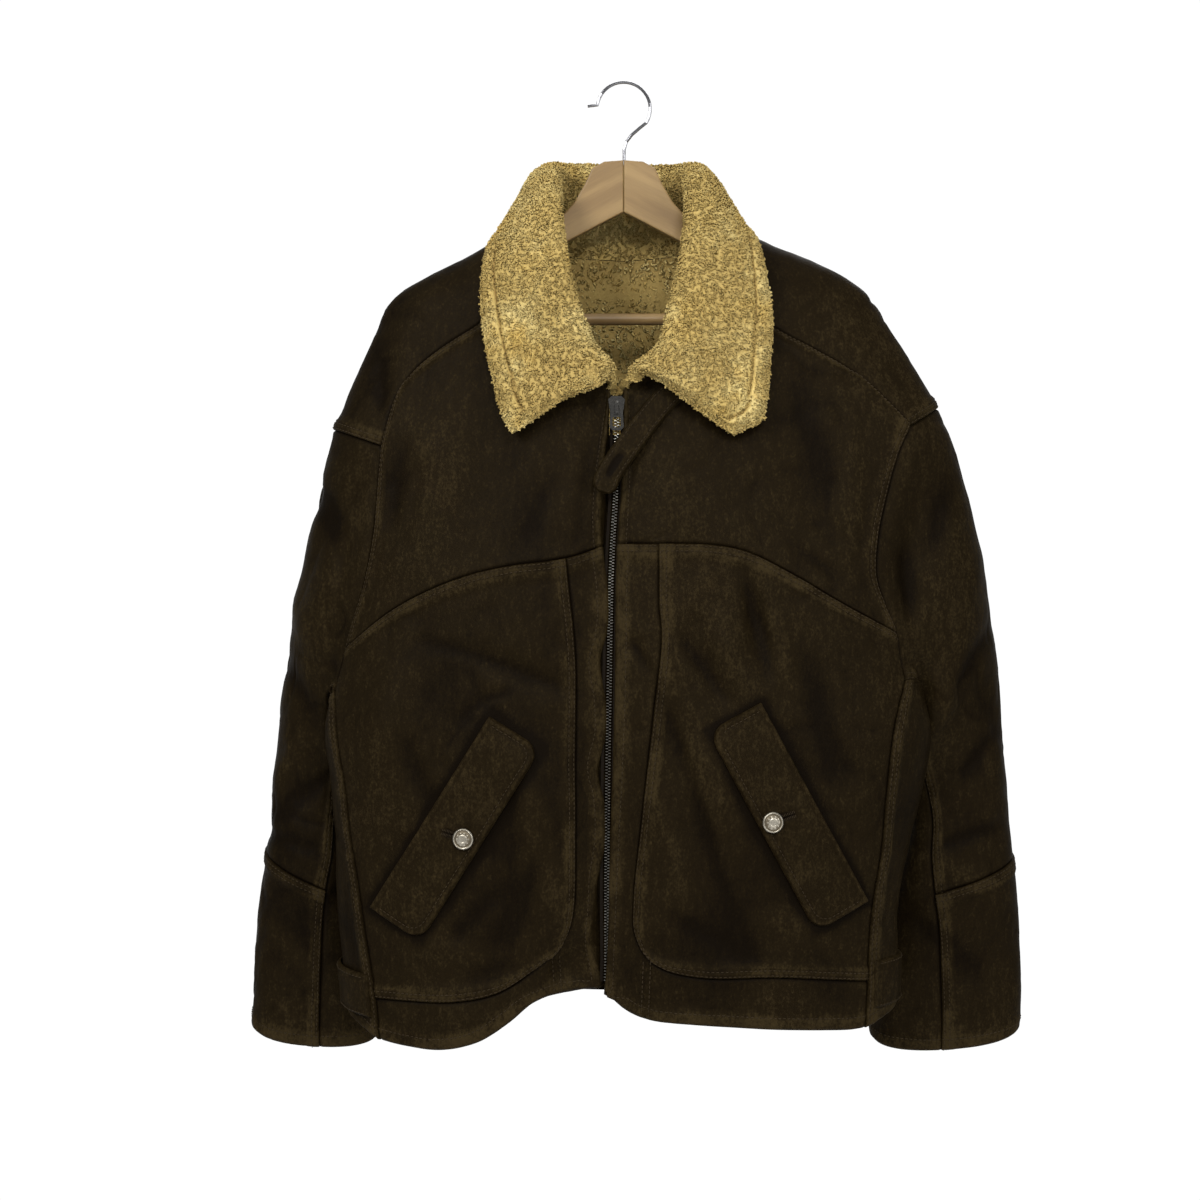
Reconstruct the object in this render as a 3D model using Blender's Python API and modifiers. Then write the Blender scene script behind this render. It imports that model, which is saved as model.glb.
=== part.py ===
# Fur-lined leather jacket that hangs on a flat wooden hanger.
# Tables and sizes are in millimetres, and MM makes them metres when a mesh is made.
# Left is -X and right is +X as the viewer sees them. The front faces -Y, and +Z is up.
# The origin is the inner top of the hanger's hook. Heights are measured from it.
#
# The body is one smooth surface. A place on it is an angle round the body (0 at the front's
# middle, 90 degrees at the right side, 180 at the back) and a height. Each seam is a curve on it,
# and each panel fills the seams around it, so that neighbours share their points.

import bmesh
import bpy
import numpy as np
from mathutils import Matrix, Vector

MM = 0.001
JACKET = "FurLinedJacket"

# Driving dimensions
SEAM_GAP = 0.3
SAME_PLACE = 0.01         # points nearer than this are one point
NECK_GAP = 2.0            # between the collar's foot and the panels at the neckline
ARMPIT_THIN = 0.8         # the wool is clipped away along the seams at the armpit, by this share
ARMPIT_REACH = 0.75       # and less and less down to this share of the sleeve
SLEEVE_GAP = 0.8          # the armhole bends sharply, so its pieces stand a little further apart
WALL = 7.0                # sheepskin: skin and clipped wool together
ARMHOLE_FOLDED = -0.3     # cosine beyond which sleeve and body fold against each other
COLLAR_WALL = 13.0        # the collar's longer wool
COLLAR_FOLD = 16.0        # radius of the collar's wool where it rolls over
FALL_LEAVES = 0.3         # how far the collar's fall runs on from the roll, as a share of its length
FALL_ARRIVES = 0.3        # and how far it lies flat before its edge
COLLAR_STAND_IN = 34.0    # length over which the collar grows from the body's wall to its own
BODY_SQUARE = 0.85        # 1 is an ellipse across the body, less is fuller
ZIP_DIP = 16.0            # how far the front sinks at the zip
ZIP_DIP_WIDTH = 34.0
ZIP_HALF = 3.0            # half the width of the closed teeth
ZIP_THICK = 3.0
ZIP_SUNK = 1.0
TAPE_WIDTH = 2.7
TAPE_THICK = 1.6
ZIP_TOP = -294.0
ZIP_END = -822.0
ZIP_CELLS = 26
FLAP_LENGTH = 205.0
FLAP_WIDTH = 54.0
FLAP_CORNER = 16.0
FLAP_THICK = 5.0
TAB_THICK = 4.0
LAID_GAP = 0.8            # under what lies on a panel
STRAP_WIDTH = 23.0
STRAP_THICK = 4.5
STRAP_GAP = 0.4           # the strap bridges the zip's dip and rests on the leather beside it
BUTTON_CLEAR = 0.5        # under the button's foot
ROUND_SIDES = 20          # of round parts
SLIDER_HEIGHT = -306.0    # middle of the slider
SLIDER_THICK = 4.0
BRIDGE_WIDTH = 3.0
PULL_PIVOT = 1.6          # the pull's pivot above the slider's middle
PULL_THICK = 1.6
PULL_CLEAR = 0.7          # between the slider and the pull
HANGER_THICK = 12.0
HANGER_SPLIT = 0.3        # the joint between the two arms
HANGER_EDGE = 1.5
BAR_RADIUS = 5.5
BAR_HEIGHT = -219.0
HOOK_WIRE = 1.5           # radius of the wire
HOOK_RADIUS = 24.7


def table(names, rows):
    """Named columns, each an array, from rows of numbers."""
    return dict(zip(names.split(), np.array(rows, float).T))


# The body's cross-sections: half-widths to each side of x = 0, depths before and behind the
# middle line, and where that line lies in Y.
BODY = table("height left right front back middle", (
    (-112, 52, 54, 30, 32, 0),
    (-121, 70, 74, 34, 36, 0),
    (-135, 97, 104, 40, 42, 0),
    (-148, 122, 133, 45, 47, 0),
    (-163, 151, 170, 50, 53, 0),
    (-178, 180, 201, 55, 58, 0),
    (-192, 205, 221, 59, 62, 0),
    (-207, 221, 233, 62, 66, 0),
    (-230, 231, 248, 66, 71, 0),
    (-262, 245, 267, 72, 76, -1),
    (-302, 261, 291, 79, 80, -2),
    (-322, 269, 296, 82, 82, -3),
    (-380, 262, 284, 89, 86, -6),
    (-440, 257, 272, 94, 88, -9),
    (-500, 260, 268, 97, 89, -12),
    (-550, 267, 272, 98, 90, -14),
    (-602, 276, 283, 98, 90, -16),
    (-650, 270, 276, 97, 90, -18),
    (-700, 266, 264, 95, 89, -19),
    (-760, 265, 252, 92, 88, -20),
    (-820, 259, 251, 88, 86, -20),
    (-850, 256, 250, 86, 85, -20),
    (-890, 252, 248, 84, 84, -20),
))

# Where the zip runs down the front
ZIP_LINE = table("height x", (
    (-280, -7),
    (-385, -8),
    (-435, -11),
    (-569, -14),
    (-840, -17),
))

# The largest folds of the body: a ridge or a valley from one end to the other, as the front view
# shows them. Face 1 is the front and -1 the back. Depth is outwards, so a valley is negative.
FOLDS = table("face x0 z0 x1 z1 width depth", (
    (1, 33, -560, 88, -800, 13, -6),      # long valley across the right lower front
    (1, 60, -500, 92, -590, 12, -5),
    (1, 112, -465, 122, -540, 13, -6),
    (1, 84, -500, 96, -550, 12, 4),
    (1, -128, -530, -52, -560, 11, -4),   # pull across the left lower front
    (1, -110, -600, -60, -700, 26, 5),
    (1, -118, -300, -125, -430, 26, -4),  # soft hollow down the left chest
    (1, 150, -330, 175, -440, 24, -4),
    (1, -205, -540, -235, -640, 18, 5),
    (1, -62, -845, -40, -775, 24, -20),   # left front corner turned in
    (1, -180, -860, -120, -850, 30, 6),
    (-1, -90, -330, -60, -640, 26, -6),
    (-1, 95, -350, 70, -620, 24, -6),
    (-1, -150, -600, -110, -760, 20, -5),
    (-1, 150, -590, 115, -750, 20, -5),
))

# Seams as the front view shows them. Both sides have a column pair, because they differ a little.
SIDES = "left_x left_z right_x right_z"
NECK_FRONT = table(SIDES, (
    (-13, -292, -1, -292),
    (-24, -268, 18, -268),
    (-42, -236, 38, -236),
    (-56, -208, 53, -206),
    (-66, -184, 64, -182),
))
SADDLE_FRONT = table(SIDES, (
    (-66, -184, 64, -182),
    (-100, -207, 100, -207),
    (-136, -232, 138, -234),
    (-166, -251, 172, -252),
    (-191, -272, 208, -273),
    (-209, -300, 237, -297),
    (-220, -340, 261, -321),
))
SADDLE_BACK = table(SIDES, (
    (-66, -152, 64, -150),
    (-118, -192, 118, -188),
    (-172, -244, 184, -234),
    (-220, -340, 261, -321),
))
NECK_BACK = table(SIDES, (
    (-66, -152, 64, -150),
    (-38, -155, 38, -154),
    (0, -157, 0, -157),
))
ARMHOLE_TOP = {"left": -322, "right": -302}
ARMHOLE = table(SIDES, (
    (-220, -340, 261, -321),
    (-223, -371, 249, -346),
    (-225, -398, 239, -380),
    (-229, -433, 230, -420),
    (-237, -469, 228, -459),
    (-248, -503, 236, -484),
    (-254, -524, 247, -510),
    (-259, -540, 252, -533),
    (-265, -563, 256, -553),
))
ARMHOLE_YOKE = 6
YOKE = table(SIDES, (
    (-18, -432, -4, -430),
    (-53, -443, 31, -430),
    (-105, -450, 78, -431),
    (-140, -458, 109, -437),
    (-177, -472, 154, -459),
    (-212, -491, 192, -481),
    (-254, -524, 247, -510),
))
YOKE_BAND = 1
BAND = table(SIDES, (
    (-53, -443, 31, -430),
    (-48, -485, 31, -484),
    (-44, -532, 33, -515),
    (-44, -620, 26, -580),
    (-44, -704, 15, -677),
    (-45, -749, 8, -747),
    (-50, -775, 9, -777),
    (-62, -794, 20, -797),
    (-87, -814, 36, -809),
    (-115, -831, 76, -817),
    (-152, -839, 132, -817),
    (-226, -840, 221, -824),
))
BAND_CORNER = 7
SIDE_SEAM = table(SIDES, (
    (-265, -563, 256, -553),
    (-262, -606, 245, -595),
    (-254, -652, 238, -651),
    (-249, -698, 233, -709),
    (-242, -738, 226, -751),
    (-235, -785, 222, -790),
    (-226, -840, 221, -824),
    (-222, -878, 219, -867),
))
SIDE_SEAM_BAND = 6
SIDE_SEAM_BACK = table(SIDES, (
    (-265, -563, 256, -553),
    (-256, -640, 240, -640),
    (-246, -720, 230, -720),
    (-234, -800, 222, -800),
    (-228, -845, 220, -845),
))
HEM = table(SIDES, (
    (-23, -828, -11, -838),
    (-40, -828, 0, -847),
    (-60, -832, 18, -854),
    (-80, -839, 62, -859),
    (-104, -858, 100, -862),
    (-130, -875, 140, -865),
    (-165, -884, 180, -867),
    (-197, -882, 205, -868),
    (-222, -878, 219, -867),
))
HEM_BACK = table(SIDES, (
    (-228, -845, 220, -845),
    (-110, -851, 110, -851),
    (0, -848, 0, -848),
))

# Cells that each seam is divided into. Panels on both sides of a seam share them.
CELLS = {
    "neck": 5, "saddle": 8, "saddle_end": 2, "over": 6, "chest": 7, "armpit": 2, "underarm": 4,
    "armhole_back": 9, "band": 2, "yoke": 9, "side": 11, "hem_end": 2, "neck_back": 3,
    "sleeve": 13, "elbow": 5,
}

# The sleeves as the front view shows them, each row one ring: its outer and inner ends, the
# middle of its depth in Y, half that depth, and how far its front hangs below its back.
SLEEVE = {
    "left": table("outer_x outer_z inner_x inner_z middle half drop", (
        (-269, -322, -262, -566, -12, 62, 0),
        (-281, -369, -277, -572, 3, 60, 0),
        (-297, -430, -285, -592, 19, 54, 2),
        (-309, -490, -284, -622, 35, 48, 4),
        (-320, -548, -271, -662, 46, 47, 6),
        (-328, -607, -258, -700, 50, 48, 8),
        (-334, -665, -252, -730, 51, 50, 9),
        (-339, -715, -249, -754, 52, 49, 10),
        (-345, -762, -242, -788, 54, 46, 11),
        (-350, -829, -235, -846, 56, 42, 13),
        (-353, -881, -230, -889, 57, 38, 14),
    )),
    "right": table("outer_x outer_z inner_x inner_z middle half drop", (
        (291, -302, 255, -557, -12, 62, 0),
        (308, -340, 276, -565, 4, 60, 0),
        (327, -408, 287, -582, 18, 57, 2),
        (341, -470, 287, -612, 32, 54, 4),
        (351, -526, 277, -652, 43, 52, 6),
        (358, -595, 266, -692, 49, 51, 8),
        (364, -660, 256, -728, 51, 51, 9),
        (370, -721, 249, -758, 52, 49, 10),
        (375, -770, 243, -792, 54, 46, 11),
        (378, -835, 237, -850, 56, 42, 13),
        (376, -883, 235, -893, 57, 38, 14),
    )),
}
ELBOW_RING = 7
SLEEVE_SQUARE = 0.86
UNDER_SEAM_AT_CUFF = 94.0     # degrees round the ring from its outer end

# Folds of the sleeves: along is 0 at the armhole and 1 at the cuff, around is in degrees from the
# outer end over the front.
SLEEVE_FOLDS = {
    "left": table("along around reach spread depth", (
        (0.10, 70, 0.05, 26, -8),
        (0.33, 115, 0.06, 30, 6),
        (0.52, 60, 0.05, 40, -4),
        (0.84, 70, 0.04, 26, -5),
        (0.45, 270, 0.05, 50, -5),
    )),
    "right": table("along around reach spread depth", (
        (0.10, 75, 0.05, 30, -12),
        (0.33, 115, 0.06, 36, 9),
        (0.55, 100, 0.05, 30, -5),
        (0.66, 60, 0.05, 44, -3),
        (0.86, 60, 0.04, 30, -4),
        (0.45, 270, 0.05, 50, -5),
    )),
}

# The collar, one row for each station from the zip to the middle of the back: how far along the
# half neckline it is sewn, the innermost point of the roll, and its free edge on the body.
COLLAR = table(
    "along roll_left roll_right roll_y roll_z left_x left_z right_x right_z face lift", (
        (0.00, -6, 0, -84, -281, -100, -333, 96, -334, 1, 6),
        (0.09, -13, 12, -84, -267, -108, -318, 121, -322, 1, 5),
        (0.19, -26, 29, -82, -251, -113, -302, 127, -302, 1, 3),
        (0.30, -37, 37, -80, -226, -118, -282, 130, -276, 1, 1),
        (0.41, -47, 46, -75, -195, -124, -254, 132, -250, 1, 1),
        (0.51, -54, 53, -68, -156, -128, -224, 133, -220, 1, 3),
        (0.59, -58, 56, -48, -120, -132, -195, 132, -190, 1, 6),
        (0.66, -60, 58, -24, -100, -134, -172, 132, -163, 1, 10),
        (0.71, -60, 58, -6, -92, -134, -155, 132, -148, 1, 12),
        (0.76, -57, 56, 10, -89, -132, -172, 130, -166, -1, 10),
        (0.84, -47, 47, 28, -88, -108, -180, 108, -176, -1, 5),
        (0.92, -26, 26, 37, -86, -58, -176, 58, -176, -1, 1),
        (1.00, 0, 0, 41, -84, 0, -172, 0, -172, -1, 1),
    ))
STAND_CELLS = 2
FOLD_CELLS = 3
FALL_CELLS = 6

# The throat strap's middle line, from under the collar to its round end
STRAP = table("x z", (
    (48, -288),
    (33, -303),
    (17, -323),
    (1, -345),
    (-8, -358),
    (-15, -370),
    (-20, -385),
))

# Pocket flaps: the two ends of the sewn edge, and the button's place
FLAPS = {
    "left": {"start": (-228, -757), "end": (-120, -584), "button": (-142, -692)},
    "right": {"start": (218, -751), "end": (121, -572), "button": (130, -677)},
}

# Waist tabs: heights of the upper and lower edge at the side seam and where the tab ends behind
TABS = {
    "left": {"upper": (-819, -800), "lower": (-858, -839)},
    "right": {"upper": (-806, -798), "lower": (-850, -838)},
}
TAB_START = 1.7           # degrees behind the side seam
TAB_END = 128.0           # degrees round the body

# Half of a button's cross-section, from the middle of its dome round its rim to its foot
BUTTON = table("radius height", (
    (0.0, 5.2), (3.0, 5.0), (6.0, 4.3), (8.2, 3.4), (9.5, 2.6), (9.5, 1.4),
    (8.8, 0.9), (3.0, 0.9), (3.0, 0.0), (0.0, 0.0),
))

# The slider as the front view shows it, from its middle
SLIDER = table("x z", (
    (-7.5, 6.5), (-4.5, 9.5), (4.5, 9.5), (7.5, 6.5), (5.5, -7.5), (3.5, -9.5), (-3.5, -9.5), (-5.5, -7.5),
))

# The bridge on the slider as its side shows it: along is down the slider, and out is negative
BRIDGE = table("along out", (
    (-7.0, 1.0), (-7.0, -2.9), (-5.0, -4.4), (3.0, -4.4), (5.0, -2.9), (5.0, 1.0),
    (3.6, 1.0), (3.6, -2.0), (2.2, -3.1), (-4.4, -3.1), (-5.6, -2.0), (-5.6, 1.0),
))

# The pull as the front view shows it, from its pivot: its outline and its opening
PULL = table("x z", (
    (-5.0, 0.8), (5.0, 0.8), (6.5, -20.2), (3.5, -23.2), (-3.5, -23.2), (-6.5, -20.2),
))
PULL_OPENING = table("x z", (
    (-2.4, -0.8), (2.4, -0.8), (3.9, -18.6), (1.9, -20.6), (-1.9, -20.6), (-3.9, -18.6),
))

# The hook's bend and shank below its open circle
SHANK = table("x z", (
    (15.0, -41.0), (7.5, -47.5), (2.5, -54.0), (0.5, -61.0), (0.5, -71.4),
))

# Half of the hanger's outline, from the crown down the top of the arm and back underneath
ARM = table("x z", (
    (0, -71.7), (18, -73), (29, -79), (36, -94), (46, -111), (60, -126), (120, -158.5),
    (180, -191.5), (198, -204), (208, -216), (211, -226), (207, -235), (192, -236),
    (189, -231), (189, -212), (120, -183), (54, -148), (12, -126), (0, -120),
))

ARM_NOTCH = 13            # the row where the bar meets the arm

COLOURS = {
    "leather": ((0.022, 0.015, 0.008), 0.75, 0.0),
    "fleece": ((0.50, 0.36, 0.15), 0.95, 0.0),
    "beech": ((0.50, 0.33, 0.18), 0.5, 0.0),
    "chrome": ((0.75, 0.75, 0.76), 0.15, 1.0),
    "steel": ((0.45, 0.44, 0.42), 0.3, 1.0),
    "tape": ((0.02, 0.018, 0.016), 0.9, 0.0),
}


def clear_scene():
    for old in list(bpy.data.objects):
        bpy.data.objects.remove(old)


def new_collection(name, hidden=False):
    made = bpy.data.collections.new(name)
    bpy.context.scene.collection.children.link(made)
    made.hide_render = hidden
    return made


def material_for(name, kind):
    colour, roughness, metallic = COLOURS[kind]
    made = bpy.data.materials.new(name)
    made.use_nodes = True
    shader = made.node_tree.nodes["Principled BSDF"]
    shader.inputs["Base Color"].default_value = (*colour, 1.0)
    shader.inputs["Roughness"].default_value = roughness
    shader.inputs["Metallic"].default_value = metallic
    made.diffuse_color = (*colour, 1.0)
    return made


def add_object(name, data, kind, collection):
    made = bpy.data.objects.new(name, data)
    made.data.materials.append(material_for(name, kind))
    collection.objects.link(made)
    return made


def add_mesh(name, points, faces, kind, collection):
    """A closed mesh with its faces turned outwards. The points are in millimetres."""
    mesh = bpy.data.meshes.new(name)
    mesh.from_pydata([tuple(point) for point in np.asarray(points) * MM], [], faces)
    shaped = bmesh.new()
    shaped.from_mesh(mesh)
    bmesh.ops.recalc_face_normals(shaped, faces=shaped.faces)
    shaped.to_mesh(mesh)
    shaped.free()
    mesh.shade_smooth()
    mesh.set_sharp_from_angle(angle=np.radians(40))
    return add_object(name, mesh, kind, collection)


def ease(value):
    """0 to 1 with a soft start and end."""
    value = np.clip(value, 0.0, 1.0)
    return value * value * (3.0 - 2.0 * value)


def unit(vectors):
    return vectors / np.linalg.norm(vectors, axis=-1, keepdims=True)


def smooth(knots, values, at):
    """Cubic pieces through the values, with slopes from their neighbours."""
    slopes = np.gradient(values, knots)
    at = np.clip(at, knots[0], knots[-1])
    first = np.clip(np.searchsorted(knots, at) - 1, 0, len(knots) - 2)
    span = knots[first + 1] - knots[first]
    part = (at - knots[first]) / span
    square = part * part
    cube = square * part
    return (
        (2 * cube - 3 * square + 1) * values[first]
        + (cube - 2 * square + part) * span * slopes[first]
        + (3 * square - 2 * cube) * values[first + 1]
        + (cube - square) * span * slopes[first + 1]
    )


def body_row(name, height):
    return smooth(-BODY["height"], BODY[name], -height)


def zip_x(height):
    return smooth(-ZIP_LINE["height"], ZIP_LINE["x"], -height)


def fold_offset(face, x, z):
    """How far the folds move the surface outwards at a place in the front view."""
    moved = np.zeros(np.shape(x))
    for row in zip(*FOLDS.values()):
        side, x0, z0, x1, z1, width, depth = row
        along_x = x1 - x0
        along_z = z1 - z0
        part = ((x - x0) * along_x + (z - z0) * along_z) / (along_x**2 + along_z**2)
        held = np.clip(part, 0.0, 1.0)
        away = np.hypot(x - x0 - held * along_x, z - z0 - held * along_z)
        taper = 0.35 + 0.65 * np.sin(np.pi * held)
        moved += np.where(face == side, depth * taper * np.exp(-((away / width) ** 2)), 0.0)
    return moved


def half_width(angle, height):
    return np.where(np.sin(angle) > 0, body_row("right", height), body_row("left", height))


def body_surface(angle, height, detail=True):
    """A point of the outer surface. Without detail it leaves out the zip's dip and the folds."""
    angle = np.asarray(angle, float)
    height = np.asarray(height, float)
    x = half_width(angle, height) * np.sin(angle)
    facing = np.cos(angle)
    face = np.where(facing > 0, 1, -1)
    depth = np.where(facing > 0, body_row("front", height), body_row("back", height))
    reach = depth * np.abs(facing) ** BODY_SQUARE
    if detail:
        fade = ease(np.abs(facing) / 0.5)
        dip = ZIP_DIP * (0.45 + 0.55 * ease((-height - 300) / 160))
        near_zip = np.exp(-(((x - zip_x(height)) / ZIP_DIP_WIDTH) ** 2))
        reach = reach - np.where(face == 1, dip * near_zip, 0.0)
        reach = reach + fade * fold_offset(face, x, height)
    y = body_row("middle", height) - face * reach
    return np.stack([x, y, height], axis=-1)


def body_normal(angle, height, detail=True):
    """The outward direction, from the surface's slopes."""
    step_angle = 0.01
    step_height = 2.0
    around = body_surface(angle + step_angle, height, detail)
    around = around - body_surface(angle - step_angle, height, detail)
    down = body_surface(angle, height - step_height, detail)
    down = down - body_surface(angle, height + step_height, detail)
    return unit(np.cross(down, around))


def place_on(x, z, face=1):
    """Angle and height of a place that the front view shows at x and z."""
    x = np.asarray(x, float)
    z = np.asarray(z, float)
    half = np.where(x > 0, body_row("right", z), body_row("left", z))
    angle = np.arcsin(np.clip(x / half, -1.0, 1.0))
    if face < 0:
        angle = np.where(angle < 0, -np.pi - angle, np.pi - angle)
    return np.stack([angle, z], axis=-1)


def curve_through(points, first, last, steps=16):
    """A smooth curve between two of the points, shaped by those before and after them."""
    points = np.asarray(points, float)
    chord = np.linalg.norm(np.diff(points, axis=0), axis=1) ** 0.5
    knots = np.concatenate([[0.0], np.cumsum(chord)])
    at = np.concatenate(
        [np.linspace(knots[i], knots[i + 1], steps, endpoint=False) for i in range(first, last)]
        + [[knots[last]]]
    )
    return np.stack([smooth(knots, column, at) for column in points.T], axis=-1)


def divide(places, cells):
    """The path of places divided into cells of equal length on the body."""
    points = body_surface(places[:, 0], places[:, 1])
    length = np.concatenate([[0.0], np.cumsum(np.linalg.norm(np.diff(points, axis=0), axis=1))])
    at = np.linspace(0.0, length[-1], cells + 1)
    return np.stack([np.interp(at, length, column) for column in places.T], axis=-1)


def seam(rows, side, first, last, cells, face=1):
    """Part of a seam table as divided places on the body."""
    points = np.stack([rows[side + "_x"], rows[side + "_z"]], axis=-1)
    last = len(points) - 1 if last is None else last
    path = curve_through(points, first, last)
    return divide(place_on(path[:, 0], path[:, 1], face), cells)


def join(*paths):
    """Paths end to end, with each shared place kept once."""
    return np.concatenate([paths[0]] + [path[1:] for path in paths[1:]])


def zip_edge(side, top, bottom, cells):
    """The leather's edge beside the zip, from one height to another."""
    clear = ZIP_HALF + 2 * SEAM_GAP + TAPE_WIDTH
    height = np.linspace(top, bottom, 8 * cells)
    x = zip_x(height) + (clear if side == "right" else -clear)
    return divide(place_on(x, height), cells)


def neck_side(side, cells):
    """The neckline over the shoulder, straight front to back as seen from above."""
    sign = 1 if side == "right" else -1
    x = abs(NECK_FRONT[side + "_x"][-1])
    heights = np.linspace(BODY["height"][0], -200, 300)
    widths = body_row(side, heights)
    front = np.interp(NECK_FRONT[side + "_z"][-1], heights[::-1], widths[::-1])
    back = np.interp(NECK_BACK[side + "_z"][0], heights[::-1], widths[::-1])
    angle = np.linspace(np.arcsin(x / front), np.pi - np.arcsin(x / back), 60)
    height = np.interp(x / np.sin(angle), widths, heights)
    return divide(np.stack([sign * angle, height], axis=-1), cells)


def over_shoulder(side, start, end, cells):
    """The armhole's edge over the top of the shoulder."""
    angle = np.linspace(start[0], end[0], 60)
    quarter = np.sign(start[0]) * np.pi / 2
    share = ((angle - quarter) / (start[0] - quarter)) ** 2
    height = ARMHOLE_TOP[side] + (start[1] - ARMHOLE_TOP[side]) * share
    return divide(np.stack([angle, height], axis=-1), cells)


def bent(start, end, cells, power):
    """A path round the side whose height changes faster near its start."""
    part = np.linspace(0.0, 1.0, 60)
    angle = start[0] + (end[0] - start[0]) * part
    height = end[1] + (start[1] - end[1]) * (1.0 - part) ** power
    return divide(np.stack([angle, height], axis=-1), cells)


def fill(top, bottom, start, end):
    """A grid of places between four paths: top and bottom run the same way, and so do the sides."""
    across = np.linspace(0.0, 1.0, len(top))[None, :, None]
    down = np.linspace(0.0, 1.0, len(start))[:, None, None]
    ruled = (1 - down) * top[None] + down * bottom[None]
    ruled = ruled + (1 - across) * start[:, None] + across * end[:, None]
    corners = (1 - down) * ((1 - across) * top[0] + across * top[-1])
    corners = corners + down * ((1 - across) * bottom[0] + across * bottom[-1])
    return ruled - corners


def from_behind(places):
    """Angles measured from the back's middle, so that a panel can cross it. It is its own inverse."""
    angle = places[..., 0]
    turned = np.where(angle < 0, -np.pi - angle, np.pi - angle)
    return np.stack([turned, places[..., 1]], axis=-1)


def seams_of(side):
    """All seams of one side of the body, each as divided places."""
    made = {
        "neck_front": seam(NECK_FRONT, side, 0, None, CELLS["neck"]),
        "saddle_front": seam(SADDLE_FRONT, side, 0, None, CELLS["saddle"]),
        "saddle_back": seam(SADDLE_BACK, side, 0, None, CELLS["saddle"], -1),
        "neck_back": seam(NECK_BACK, side, 0, None, CELLS["neck_back"], -1),
        "neck_side": neck_side(side, CELLS["over"]),
        "armhole_chest": seam(ARMHOLE, side, 0, ARMHOLE_YOKE, CELLS["chest"]),
        "armhole_front": seam(ARMHOLE, side, ARMHOLE_YOKE, None, CELLS["armpit"]),
        "armhole_back": seam(ARMHOLE, side, 0, None, CELLS["armhole_back"], -1),
        "yoke_band": seam(YOKE, side, 0, YOKE_BAND, CELLS["band"]),
        "yoke": seam(YOKE, side, YOKE_BAND, None, CELLS["yoke"]),
        "band_down": seam(BAND, side, 0, BAND_CORNER, CELLS["armpit"] + CELLS["side"]),
        "band_across": seam(BAND, side, BAND_CORNER, None, CELLS["yoke"]),
        "side_front": seam(SIDE_SEAM, side, 0, SIDE_SEAM_BAND, CELLS["side"]),
        "side_end": seam(SIDE_SEAM, side, SIDE_SEAM_BAND, None, CELLS["hem_end"]),
        "hem": seam(HEM, side, 0, None, CELLS["yoke"]),
    }
    behind = CELLS["saddle"] - CELLS["saddle_end"] + CELLS["neck_back"]
    made["hem_back"] = seam(HEM_BACK, side, 0, None, behind, -1)
    made["side_back"] = seam(
        SIDE_SEAM_BACK, side, 0, None, CELLS["side"] + CELLS["hem_end"], -1
    )
    made["zip_chest"] = zip_edge(
        side, made["neck_front"][0, 1], made["yoke_band"][0, 1], CELLS["saddle_end"] + CELLS["chest"]
    )
    made["zip_band"] = zip_edge(
        side, made["yoke_band"][0, 1], made["hem"][0, 1], CELLS["armpit"] + CELLS["side"]
    )
    made["neck_front"][0] = made["zip_chest"][0]
    made["yoke_band"][0] = made["zip_band"][0]
    made["hem"][0] = made["zip_band"][-1]
    made["over"] = over_shoulder(
        side, made["saddle_front"][-1], made["saddle_back"][-1], CELLS["over"]
    )
    made["underarm"] = bent(
        made["side_front"][0], made["side_back"][0], CELLS["underarm"], 1
    )
    made["hem_side"] = bent(made["side_end"][-1], made["side_back"][-1], CELLS["underarm"], 2)
    return made


def panels_of(side, seams):
    """The side's panels, each as a grid of places."""
    return {
        "chest": fill(
            join(seams["neck_front"], seams["saddle_front"][: -CELLS["saddle_end"]]),
            join(seams["yoke_band"], seams["yoke"]),
            seams["zip_chest"],
            join(seams["saddle_front"][-CELLS["saddle_end"] - 1 :], seams["armhole_chest"]),
        ),
        "front": fill(
            seams["yoke"],
            seams["band_across"],
            seams["band_down"],
            join(seams["armhole_front"], seams["side_front"]),
        ),
        "band": fill(
            join(seams["band_down"], seams["band_across"]),
            join(seams["zip_band"], seams["hem"]),
            seams["yoke_band"][::-1],
            seams["side_end"],
        ),
        "side": fill(
            seams["underarm"],
            seams["hem_side"],
            join(seams["side_front"], seams["side_end"]),
            seams["side_back"],
        ),
        "shoulder": fill(
            seams["neck_side"],
            seams["over"],
            seams["saddle_front"],
            seams["saddle_back"],
        ),
    }


def back_panel(left, right):
    """The back, from the left armhole across to the right one."""
    rows = {}
    end = CELLS["saddle_end"]
    for side, seams in (("left", left), ("right", right)):
        saddle = seams["saddle_back"][::-1]
        rows[side] = {
            "top": from_behind(join(saddle[end:], seams["neck_back"])),
            "hem": from_behind(seams["hem_back"]),
            "edge": from_behind(join(saddle[end::-1], seams["armhole_back"], seams["side_back"])),
        }
    return from_behind(
        fill(
            join(rows["left"]["top"], rows["right"]["top"][::-1]),
            join(rows["left"]["hem"], rows["right"]["hem"][::-1]),
            rows["left"]["edge"],
            rows["right"]["edge"],
        )
    )


def armhole_ring(seams):
    """The armhole as one closed ring of places, from the shoulder's top over the front."""
    over = seams["over"]
    middle = CELLS["over"] // 2
    ring = join(
        over[middle::-1],
        seams["armhole_chest"],
        seams["armhole_front"],
        seams["underarm"],
        seams["armhole_back"][::-1],
        over[: middle - 1 : -1],
    )
    return ring[:-1]


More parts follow.
